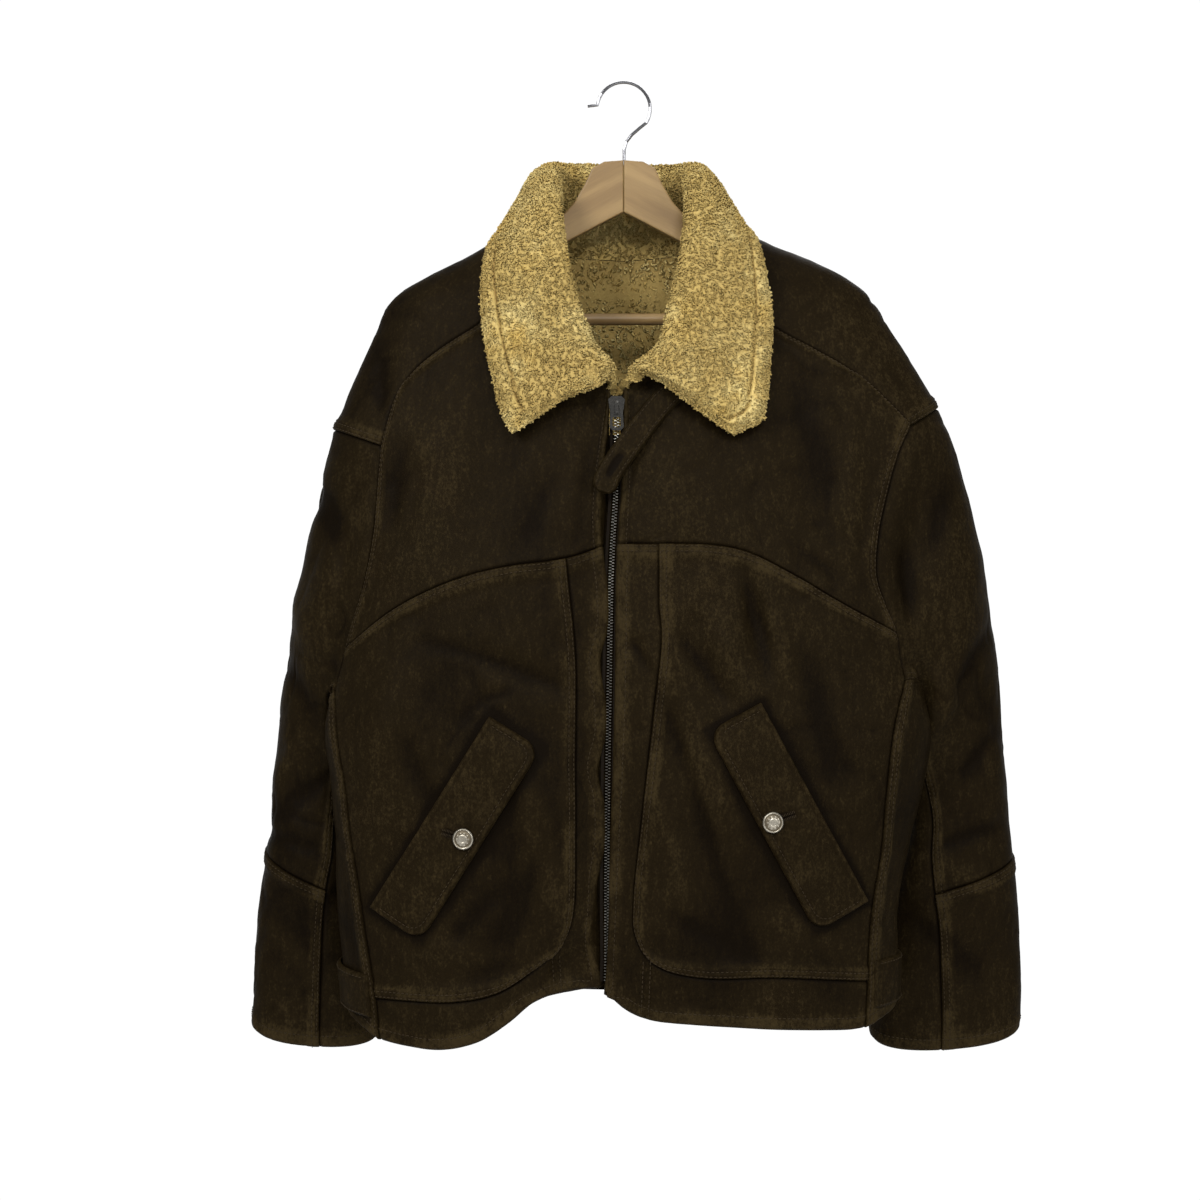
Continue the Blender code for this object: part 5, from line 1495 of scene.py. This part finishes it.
# A flap on its places, a row of stitches inside its outline, and short ones across its slit.
def addFlap(side):
    length, width, inset = flap["length"], flap["width"], flap["stitch"]
    near = np.array([0, 1.0, 2.2, 3.6, 5.0, 6.6, 8.2, 10.2])
    crosswise = np.concatenate([near, np.linspace(12.5, width - 11.5, 12), width - near[::-1]]) / width
    lengthwise, crosswise = np.meshgrid(2 * spaced(length, 3.4) - 1, crosswise)
    places, half = flapPlaces(side, lengthwise, crosswise)
    away = np.minimum((1 - crosswise) * width, (1 - np.abs(lengthwise)) * half)
    away = np.minimum(away, crosswise * width + 1.0)
    onBody = placeOn(places[..., 0], places[..., 1])
    addLaid(f"pocket_flap_{side}", onBody, away, flap, slit=slits[side], flat=(length * mm, width * mm))
    high = flap["gap"] + flap["thick"] - 0.35
    part = np.linspace(0, 1, 60)
    cross = np.concatenate([part, np.ones(120), part[::-1]]) * (width - 2 * inset) / width + inset / width
    run = np.concatenate([-np.ones(60), np.linspace(-1, 1, 120), np.ones(60)])
    reach = roundedHalf((1 - cross) * width - inset, length / 2 - inset, flap["corner"] - inset / 2)
    middle, _ = flapPlaces(side, np.zeros(len(cross)), cross)
    line = middle + (run * reach)[:, None] * flapFrame(side)[1]
    sewPlaces(line[:, 0], line[:, 1], high)
    start, end = (np.array(corner, float) for corner in slits[side])
    along = unit(end - start)
    across = np.array([-along[1], along[0]])
    for hand in (-1, 1):
        at = start + np.linspace(0, 1, 13)[:, None] * (end - start) + hand * 2.0 * across
        on = placeOn(at[:, 0], at[:, 1])
        up = bodyNormal(on[:, 0], on[:, 1])
        spot = bodySurface(on[:, 0], on[:, 1]) + (high + 0.2) * up
        direction = np.array([across[0], 0.0, across[1]])
        threadRows.append((spot, unit(direction - (up @ direction)[:, None] * up), up))


# A waist tab: a band from the side seam to behind, between an upper and a lower line.
def addTab(side, seams):
    start = seams["sideEnd"][0, 0]
    start = start + np.sign(start) * 0.03
    end = np.sign(start) * np.radians(tabEnd)
    rows = tabEdges[side]
    near = np.array([0, 0.03, 0.07, 0.12, 0.18])
    down = np.concatenate([near, np.linspace(0.25, 0.75, 6), 1 - near[::-1]])
    part, down = np.meshgrid(spaced(150, 4.0), down)
    upper = rows["upper"][0] + (rows["upper"][1] - rows["upper"][0]) * part
    lower = rows["lower"][0] + (rows["lower"][1] - rows["lower"][0]) * part
    places = np.stack([start + (end - start) * part, upper + (lower - upper) * down], axis=-1)
    base = bodySurface(places[..., 0], places[..., 1])
    away = np.minimum.reduce(list(borderDistances(base).values()))
    long, wide = gridSpans(base)
    outer, normals = addLaid(f"side_tab_{side}", places, away, tab, flat=(long * mm, wide * mm))
    for border in ("top", "bottom"):
        sewBorder(outer, normals, border, (tab["stitch"],), skip=(5, 5))


# The throat strap: a straight band with a round end and a buttonhole in it.
def addStrap():
    points = np.stack([strapLine["x"], strapLine["z"]], axis=-1)
    line = curveThrough(points, 0, len(points) - 1, 8)
    along = unit(np.gradient(line, axis=0))
    across = np.stack([along[:, 1], -along[:, 0]], axis=-1)
    run = np.linalg.norm(line - line[-1], axis=1)
    half = roundedHalf(run, strap["width"] / 2, strap["width"] / 2 - 0.5)
    wide = np.array([0.12, 0.35, 0.55, 0.66, 0.76, 0.86, 0.94, 1])
    wide = np.concatenate([-wide[::-1], wide])
    places = line[:, None] + (half[:, None] * wide)[..., None] * across[:, None]
    onBody = placeOn(places[..., 0], places[..., 1])
    away = np.minimum((1 - np.abs(wide))[None, :] * half[:, None], run[:, None] + 0 * wide[None, :])
    hole = [tuple(line[place]) for place in strap["slit"]]
    flat = (strap["width"] * mm, runLength(line)[-1] * mm)
    addLaid("throat_strap", onBody, away, strap, detail=False, slit=hole, flat=flat)
    for hand in (-1, 1):
        edge = line + hand * np.maximum(half - strap["stitch"], 0.5)[:, None] * across
        sewPlaces(edge[:-3, 0], edge[:-3, 1], strap["gap"] + strap["thick"] - 0.3, False)


button = {
    "rings": ((0.55, 8.5, 0.55), (-0.4, 7.2, 0.5), (0.3, 3.4, 0.35)),     # height, radius and width of each
    "dots": 10,
    "dotRing": 5.3,
    "dotHeight": 0.42,
}


# A button: rings of points whose height follows a dome with a rim, two rings and small dots. Its tone paints
# shade into its hollows and on the side of its rim, and keeps its raised dots bright.
def addButton(side):
    radius = np.concatenate([[0.01], np.linspace(0.6, 9.2, 30), [9.5, 9.5, 8.8, 3.0, 3.0]])
    turn = np.linspace(0, 2 * np.pi, 49)[:-1]
    dome = 2.6 + 2.6 * np.sqrt(np.clip(1 - (radius / 10.4) ** 2, 0, 1)) - 0.95
    for high, where, width in button["rings"]:
        dome = dome + high * bell(radius - where, width)
    dome[-4:] = (1.4, 0.9, 0.9, 0.0)
    dome[-5] = 2.6
    around = np.clip(np.cos(button["dots"] * turn[None]), 0, 1) ** 1.5
    dots = button["dotHeight"] * bell(radius[:, None] - button["dotRing"], 0.75) * around
    high = dome[:, None] + dots
    flat = np.stack([radius[:, None] * np.cos(turn), radius[:, None] * np.sin(turn), high], axis=-1)
    x, z = flapEnds[side]["button"]
    at = placeOn(x, z)
    up = bodyNormal(at[..., 0], at[..., 1])
    seat = bodySurface(at[..., 0], at[..., 1]) + (flap["gap"] + flap["thick"] + 0.5) * up
    first = unit(np.cross(up, np.array([0.0, 0.0, 1.0])))
    second = np.cross(up, first)
    points = seat + flat[..., :1] * first + flat[..., 1:2] * second + flat[..., 2:] * up
    rows, columns = points.shape[:2]
    faces = gridFaces(rows, columns, around=True)
    # painted shade in the hollows and on the rim's side; the raised dots stay bright
    hollowShade = 0.5 * bell(radius - 7.2, 0.8) + 0.28 * (radius < 6.6) * (radius > 4.2)
    hollowShade = hollowShade[:, None] - 1.1 * dots + 0.3 * (radius > 9.3)[:, None] - 0.08
    piece = meshObject(f"button_{side}", points.reshape(-1, 3), faces, [buttonMetal], values={"tone": hollowShade})
    faceOutwards(piece, closed=False)
    dress(piece, [f"button_{side}"])


# Turns the faces of a mesh outwards, after its open rings are closed where it has some.
def faceOutwards(piece, closed=True):
    shape = bmesh.new()
    shape.from_mesh(piece.data)
    if not closed:
        bmesh.ops.holes_fill(shape, edges=[edge for edge in shape.edges if edge.is_boundary], sides=0)
    bmesh.ops.recalc_face_normals(shape, faces=shape.faces)
    shape.to_mesh(piece.data)
    shape.free()
    piece.data.shade_smooth()
    piece.data.set_sharp_from_angle(angle=np.radians(50))


teeth = {"pitch": 1.35, "top": -313.0, "bottom": -821.5, "half": 1.2, "tall": 0.44}


# Closed teeth, which alternate from side to side down the zip: a block with a narrower top for each.
def addTeeth():
    height = np.arange(teeth["top"], teeth["bottom"], -teeth["pitch"])
    hand = np.where(np.arange(len(height)) % 2 == 0, 1.0, -1.0)
    at = placeOn(zipX(height), height)
    up = bodyNormal(at[:, 0], at[:, 1])
    base = bodySurface(at[:, 0], at[:, 1])
    down = unit(np.gradient(base, axis=0))
    side = unit(np.cross(down, up))
    box = []
    for lift, half, tall in ((-3.6, 1.0, 1.0), (-2.0, 1.0, 1.0), (-1.1, 0.72, 0.55)):
        for a, b in ((-1, -1), (1, -1), (1, 1), (-1, 1)):
            box.append((a * teeth["half"] * half, b * teeth["tall"] * tall, lift))
    quads = [(3, 2, 1, 0)]
    for k in (0, 4):
        quads += [(k + i, k + (i + 1) % 4, k + 4 + (i + 1) % 4, k + 4 + i) for i in range(4)]
    quads += [(8, 9, 10, 11)]
    places = base + (hand * teeth["half"])[:, None] * side
    piece = repeatShape("zip_teeth", places, (side, down, up), np.array(box), quads, teethMetal)
    faceOutwards(piece)
    dress(piece, ["zip_chain"])


zipStrip = {"half": 15.0, "top": -330.0, "bottom": -826.0, "under": 8.6, "thick": 1.4}


# The leather strip behind the zip: a grid along the zip's line, laid under the panels' inner faces.
def addFacing():
    height = np.linspace(zipStrip["top"], zipStrip["bottom"], 130)[:, None]
    across = np.linspace(-zipStrip["half"], zipStrip["half"], 7)[None]
    at = placeOn(zipX(height) + across, height + 0 * across)
    base, normals = bodySurface(at[..., 0], at[..., 1]), bodyNormal(at[..., 0], at[..., 1])
    outer = base - zipStrip["under"] * normals
    piece = wallObject("zip_facing", outer, outer - zipStrip["thick"] * normals, [leather])
    flat = (2 * zipStrip["half"] * mm, (zipStrip["top"] - zipStrip["bottom"]) * mm)
    dress(piece, flat=flat, area=gridArea(base))


# The wool side of one half of the collar, a profile for each station along the neckline: up the
# stand, a quarter turn over the roll, and down the fall to the free edge.
def collarStations(side, seams, cells):
    neck = join(seams["neckFront"], seams["neckSide"], seams["neckBack"])
    points = bodySurface(neck[:, 0], neck[:, 1])
    length = runLength(points)
    station = length / length[-1]
    outward = bodyNormal(neck[:, 0], neck[:, 1])
    row = {name: smooth(collarRows["along"], values, station) for name, values in collarRows.items()}
    name = side.capitalize()
    roll = np.stack([row["roll" + name], row["rollY"], row["rollZ"]], axis=-1)
    fronts = placeOn(collarRows[side + "X"], collarRows[side + "Z"], 1)
    backs = placeOn(collarRows[side + "X"], collarRows[side + "Z"], -1)
    backs[-1, 0] = np.sign(fronts[0, 0]) * np.pi
    edges = np.where((collarRows["face"] > 0)[:, None], fronts, backs)
    edgeAngle = smooth(collarRows["along"], edges[:, 0], station)
    edgeHeight = smooth(collarRows["along"], edges[:, 1], station)
    edgeNormal = bodyNormal(edgeAngle, edgeHeight, detail=False)
    laid = bodySurface(edgeAngle, edgeHeight, detail=False)
    edge = laid + (wool["wall"] + row["lift"][:, None]) * edgeNormal
    foot = points - skin["wall"] * outward
    rise = unit(roll - foot)
    inwards = rise - (rise * outward).sum(axis=1, keepdims=True) * outward
    foot = foot + wool["neckGap"] * unit(inwards)
    away = edge - roll
    across = unit(away - (away * rise).sum(axis=1, keepdims=True) * rise)
    crest = roll + wool["foldRadius"] * (rise + across)
    reach = np.linalg.norm(edge - crest, axis=1)[:, None]
    lie = unit(away - (away * edgeNormal).sum(axis=1, keepdims=True) * edgeNormal)
    stand, over, fall = cells
    profile = [foot + (roll - foot) * part for part in np.linspace(0, 1, stand + 1)]
    for part in np.linspace(0, 1, over + 1)[1:]:
        turn = part * np.pi / 2
        profile.append(roll + wool["foldRadius"] * (np.sin(turn) * rise + (1 - np.cos(turn)) * across))
    leave = crest + wool["leaves"] * reach * across
    arrive = edge - wool["arrives"] * reach * lie
    for part in np.linspace(0, 1, fall + 1)[1:]:
        rest = 1 - part
        near = rest**3 * crest + 3 * rest**2 * part * leave
        profile.append(near + 3 * rest * part**2 * arrive + part**3 * edge)
    return np.stack(profile, axis=1), outward


# Both halves of the collar as one grid, its outward directions and the skin side behind it.
def collarGrid(seams, cells):
    left, leftOut = collarStations("left", seams["left"], cells)
    right, rightOut = collarStations("right", seams["right"], cells)
    face = np.concatenate([left, right[-2::-1]])
    footOut = np.concatenate([leftOut, rightOut[-2::-1]])
    half = ease((np.linspace(0, 1, len(left)) - 0.42) / 0.12)
    hold = np.concatenate([half, half[-2::-1]])[:, None] * ease(np.arange(face.shape[1]) / cells[0])[None]
    for _ in range(90):               # the turn from front to back has no sharp fold
        face[1:-1] += (hold[1:-1, :, None] / 4) * (face[:-2] - 2 * face[1:-1] + face[2:])
    normals = unit(np.cross(np.gradient(face, axis=1), np.gradient(face, axis=0)))
    if normals[len(left) - 1, 0, 1] > 0:
        normals = -normals
    risen = np.linalg.norm(face - face[:, :1], axis=-1)
    share = ease(risen / wool["standIn"])
    share[:, cells[0]:] = 1.0
    thick = (skin["wall"] + (wool["wall"] - skin["wall"]) * share)[..., None]
    share = share[..., None]
    back = face + thick * unit((1 - share) * footOut[:, None] - share * normals)
    return face, normals, back


# Curly locks: bent tapered tubes with three sides, one for each place. Their tips turn over, in directions
# that neighbours partly share. Each root ring is painted darker, as shade between the locks.
def addTufts(name, places, normals, tones, size):
    count = len(places)
    rng = np.random.default_rng(int(size["seed"]))
    swirl = np.pi * 2 * noise(places, 9.0, size["seed"]) + rng.uniform(-1.3, 1.3, count)
    sideA = unit(np.cross(normals, np.array([0.31, 0.77, 0.55])))
    sideB = np.cross(normals, sideA)
    lean = np.cos(swirl)[:, None] * sideA + np.sin(swirl)[:, None] * sideB
    bend = np.cross(normals, lean)
    scale = rng.uniform(0.72, 1.22, count)[:, None]
    rise, reach, thick = size["rise"] * scale, size["reach"] * scale, size["radius"] * scale
    twist = rng.uniform(-0.5, 0.5, count)[:, None]
    path = (
        (-0.5, 0.00, 0.00, 1.00),
        (0.80, 0.22, 0.20, 1.15),
        (0.90, 0.90, 0.25, 0.90),
    )
    tip = (0.15, 1.20, -0.15)
    rings, tone = [], []
    random = rng.uniform(-0.09, 0.09, count)
    for step, (up, out, aside, fat) in enumerate(path):
        middle = places + up * rise * normals + out * reach * lean + aside * reach * twist * bend
        turned = (0.0, 0.7, 1.9)[step]
        radial = np.cos(turned) * lean + np.sin(turned) * normals
        for k in range(3):
            angle = 2 * np.pi * k / 3
            rings.append(middle + thick * fat * (np.cos(angle) * radial + np.sin(angle) * bend))
            # painted shade at the root ring
            tone.append(tones + random + (-0.12, 0.04, 0.04)[step])
    up, out, aside = tip
    rings.append(places + up * rise * normals + out * reach * lean + aside * reach * twist * bend)
    tone.append(tones + random - 0.05)
    points = np.stack(rings, axis=1)
    faces = []
    for ring in range(2):
        for k in range(3):
            a, b = 3 * ring + k, 3 * ring + (k + 1) % 3
            faces += [(a, b, b + 3), (a, b + 3, a + 3)]
    faces += [(2, 1, 0), (6, 7, 9), (7, 8, 9), (8, 6, 9)]
    faces = np.array(faces)[None] + (np.arange(count) * 10)[:, None, None]
    piece = meshObject(name, points, faces.reshape(-1, 3), [locks], values={"tone": np.stack(tone, axis=1)})
    dress(piece)


# Places spread evenly over a grid by area: each cell's share of the total decides how many.
def scatter(grid, keep, count, seed):
    rng = np.random.default_rng(seed)
    cell = np.linalg.norm(np.cross(grid[:-1, 1:] - grid[:-1, :-1], grid[1:, :-1] - grid[:-1, :-1]), axis=-1)
    cell = cell * keep[:-1, :-1]
    total = np.cumsum(cell.ravel())
    at = (np.arange(count) + rng.uniform(0, 1, count)) / count * total[-1]
    chosen = np.searchsorted(total, at)
    row, column = np.unravel_index(np.clip(chosen, 0, cell.size - 1), cell.shape)
    u, v = rng.uniform(0, 1, (2, count, 1))

    def blend(values):
        values = values if values.ndim == 3 else values[..., None]
        low = values[row, column] * (1 - v) + values[row, column + 1] * v
        high = values[row + 1, column] * (1 - v) + values[row + 1, column + 1] * v
        return low * (1 - u) + high * u

    return blend


# The collar's woolly skin: its grid with noise, a pressed row near the free edge and rims turned under. Then
# locks over it, which lean outwards at the rims, and more round the edge. The pressed row, the stand's foot
# and the locks under the rim get painted shade.
def addCollar(seams):
    cells = wool["cells"]
    face, normals, back = collarGrid(seams, cells)
    away = borderDistances(face)
    rim = np.minimum.reduce([away["end"], away["top"], away["bottom"]])
    stand = away["start"]
    onFall = (np.arange(face.shape[1]) > cells[0] + cells[1])[None]
    groove = bell(away["end"] - wool["pressedAt"], 1.5) * onFall * (rim > 7)
    height = 1.1 * noise(face, 24, 51) + 0.7 * noise(face, 8.0, 52) + 0.5 * noise(face, 3.6, 53)
    height = (height - 2.6 * groove) * ease(stand / 10)
    turned = (1 - ease(rim / 10)) ** 1.4
    outer = face + (height - wool["rimTurn"] * turned)[..., None] * normals
    back = back + (wool["rimTurn"] * turned)[..., None] * normals
    # painted shade in the pressed row, and low on the stand by the neck
    patches = 0.30 * noise(face, 34, 54) + 0.16 * noise(face, 12, 55) - 0.9 * groove
    patches = patches - 0.3 * (1 - ease(stand / 30))
    tone = 0.42 + 0.1 * noise(face, 4.0, 56) + patches
    piece = wallObject("collar", outer, back, [fleece], tone)
    flat = (runLength(face[:, -1])[-1] * mm, gridSpans(face)[0] * mm)
    dress(piece, ["collar"], flat=flat, area=gridArea(face))
    down, along = unit(np.gradient(face, axis=1)), unit(np.gradient(face, axis=0))
    lean = sum((1 - ease(away[border] / 9))[..., None] * direction
               for border, direction in (("end", down), ("top", -along), ("bottom", along)))
    leaning = unit(normals + 1.5 * lean)
    under = unit(lean - 0.5 * normals + 1e-6)
    middle = face.shape[0] // 2
    keep = (1.0 - 0.97 * groove) * (1 + 0.5 * turned)
    size = {"rise": wool["tuftRise"], "reach": wool["tuftReach"], "radius": wool["tuftRadius"]}
    for side, part, seed in (("left", slice(0, middle + 1), 11), ("right", slice(middle, None), 12)):
        blend = scatter(outer[part], keep[part], wool["tufts"], seed)
        below = scatter(back[part], (rim[part] < 8) * 1.0, wool["rimTufts"], seed + 2)
        places = np.concatenate([blend(outer[part]), below(back[part])])
        up = unit(np.concatenate([blend(leaning[part]), below(under[part])]))
        # the locks under the rim a little darker: painted shade
        tones = np.concatenate([blend(patches[part])[:, 0], below(patches[part])[:, 0] - 0.1])
        addTufts(f"wool_{side}", places, up, 0.45 + tones, {**size, "seed": seed})


# Locks inside the back, where the open neck shows it, on the wall's inner face.
def addInnerWool(base, normals):
    shown = ease((120 - np.abs(base[..., 0])) / 20) * ease((base[..., 2] + 335) / 30)
    inside = base - (skin["wall"] + 0.2) * normals
    blend = scatter(inside, shown, wool["innerTufts"], 21)
    places = blend(inside)
    up = -unit(blend(normals))
    tones = 0.5 + 0.25 * noise(places, 26, 61) + 0.12 * noise(places, 9, 62)
    addTufts("wool_inside_back", places, up, tones, {"rise": 1.7, "reach": 2.8, "radius": 1.3, "seed": 9})


# The whole jacket: both sides' panels and sleeves, the back, the collar, then what lies on them.
def buildJacket():
    seams = {side: seamsOf(side) for side in ("left", "right")}
    under = np.concatenate([seams[side]["underarm"][::4] for side in seams])
    armpits = bodySurface(under[:, 0], under[:, 1])
    for side in ("left", "right"):
        for part, edges in panelEdges(seams[side]).items():
            addBodyPanel(f"{part}_{side}", edges, panelBorders[part], armpits, side)
        addSleeve(side, armholeRing(seams[side]))
        addFlap(side)
        addButton(side)
        addTab(side, seams[side])
        print(side, "side made")
    edges = backEdges(seams["left"], seams["right"])
    base, normals = addBodyPanel("back", edges, panelBorders["back"], armpits)
    addCollar(seams)
    addInnerWool(base, normals)
    print("collar made")
    addStrap()
    addTeeth()
    addFacing()
    threads = addStitches("stitches", threadRows, thread)
    faceOutwards(threads)
    dress(threads)
    print("stitches:", sum(len(row[0]) for row in threadRows))


# Better finishes for the solids that stay: their meshes are left as they are.
def finishSolids():
    finishes = {
        "hanger_arm_left": makeWood("wood_left", 28, 0.3),
        "hanger_arm_right": makeWood("wood_right", -28, 1.7),
        "hanger_bar": makeWood("wood_bar", 0, 2.9),
        "hanger_hook": hookMetal,
        "zip_tape_left": tapeCloth,
        "zip_tape_right": tapeCloth,
        "zip_slider": zipMetal,
        "zip_pull": zipMetal,
    }
    for name, material in finishes.items():
        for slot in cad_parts[name].material_slots:
            slot.material = material


# A pale floor under the picture, a pale room that is white behind the jacket, and soft lamps from
# the left, the right, above and behind.
room = {"dim": 0.42, "bright": 1.03, "turnsFrom": 0.55, "turnsTo": 0.92}
floor = {"x": (-4000, 4000), "y": (-3800, 1200), "z": -1350}
view = {"place": (-0.022, -2.4, -0.480), "halfPicture": 0.558}
lamps = (
    ("key", (-1.6, -2.1, 1.0), 1.2, 62.0),
    ("fill", (1.9, -2.0, 0.1), 1.5, 22.0),
    ("front", (0.35, -2.7, 0.95), 0.9, 42.0),
    ("above", (0.2, -0.3, 1.7), 1.4, 12.0),
    ("behind", (0.3, 1.7, 0.8), 1.4, 16.0),
)


# One square under the picture.
def addFloor():
    pale = Shader("pale_floor", {"Roughness": 0.8})
    pale.set("Base Color", (0.8, 0.8, 0.8))
    corners = [(x, y, floor["z"]) for y in floor["y"] for x in floor["x"]]
    meshObject("floor", corners, [(0, 1, 3, 2)], [pale.material])


# The room's light: dim, and bright where the direction looks along +Y.
def addRoom():
    world = bpy.data.worlds.new("white_room")
    world.use_nodes = True
    nodes, links = world.node_tree.nodes, world.node_tree.links
    parts = nodes.new("ShaderNodeSeparateXYZ")
    links.new(nodes.new("ShaderNodeTexCoord").outputs["Generated"], parts.inputs[0])
    behind = nodes.new("ShaderNodeMapRange")
    behind.interpolation_type = "SMOOTHSTEP"
    ends = {"From Min": "turnsFrom", "From Max": "turnsTo", "To Min": "dim", "To Max": "bright"}
    for socket, key in ends.items():
        behind.inputs[socket].default_value = room[key]
    links.new(parts.outputs["Y"], behind.inputs["Value"])
    nodes["Background"].inputs["Color"].default_value = (1, 1, 1, 1)
    links.new(behind.outputs[0], nodes["Background"].inputs["Strength"])
    bpy.context.scene.world = world


# Round lamps that look at the jacket's middle, and a level camera.
def addLampsAndCamera():
    scene = bpy.context.scene
    target = Vector((0.0, 0.0, -0.5))
    for name, place, size, power in lamps:
        data = bpy.data.lights.new(name, "AREA")
        data.shape = "DISK"
        data.size = size
        data.energy = power
        lamp = bpy.data.objects.new(name, data)
        scene.collection.objects.link(lamp)
        lamp.location = place
        lamp.rotation_euler = (target - Vector(place)).to_track_quat("-Z", "Y").to_euler()
    data = bpy.data.cameras.new("camera")
    data.angle = 2 * np.arctan(view["halfPicture"] / -view["place"][1])
    camera = bpy.data.objects.new("camera", data)
    scene.collection.objects.link(camera)
    camera.location = view["place"]
    camera.rotation_euler = (np.pi / 2, 0.0, 0.0)
    scene.camera = camera
    scene.view_settings.view_transform = "Standard"


buildJacket()
finishSolids()
addFloor()
addRoom()
addLampsAndCamera()
print("scene done")
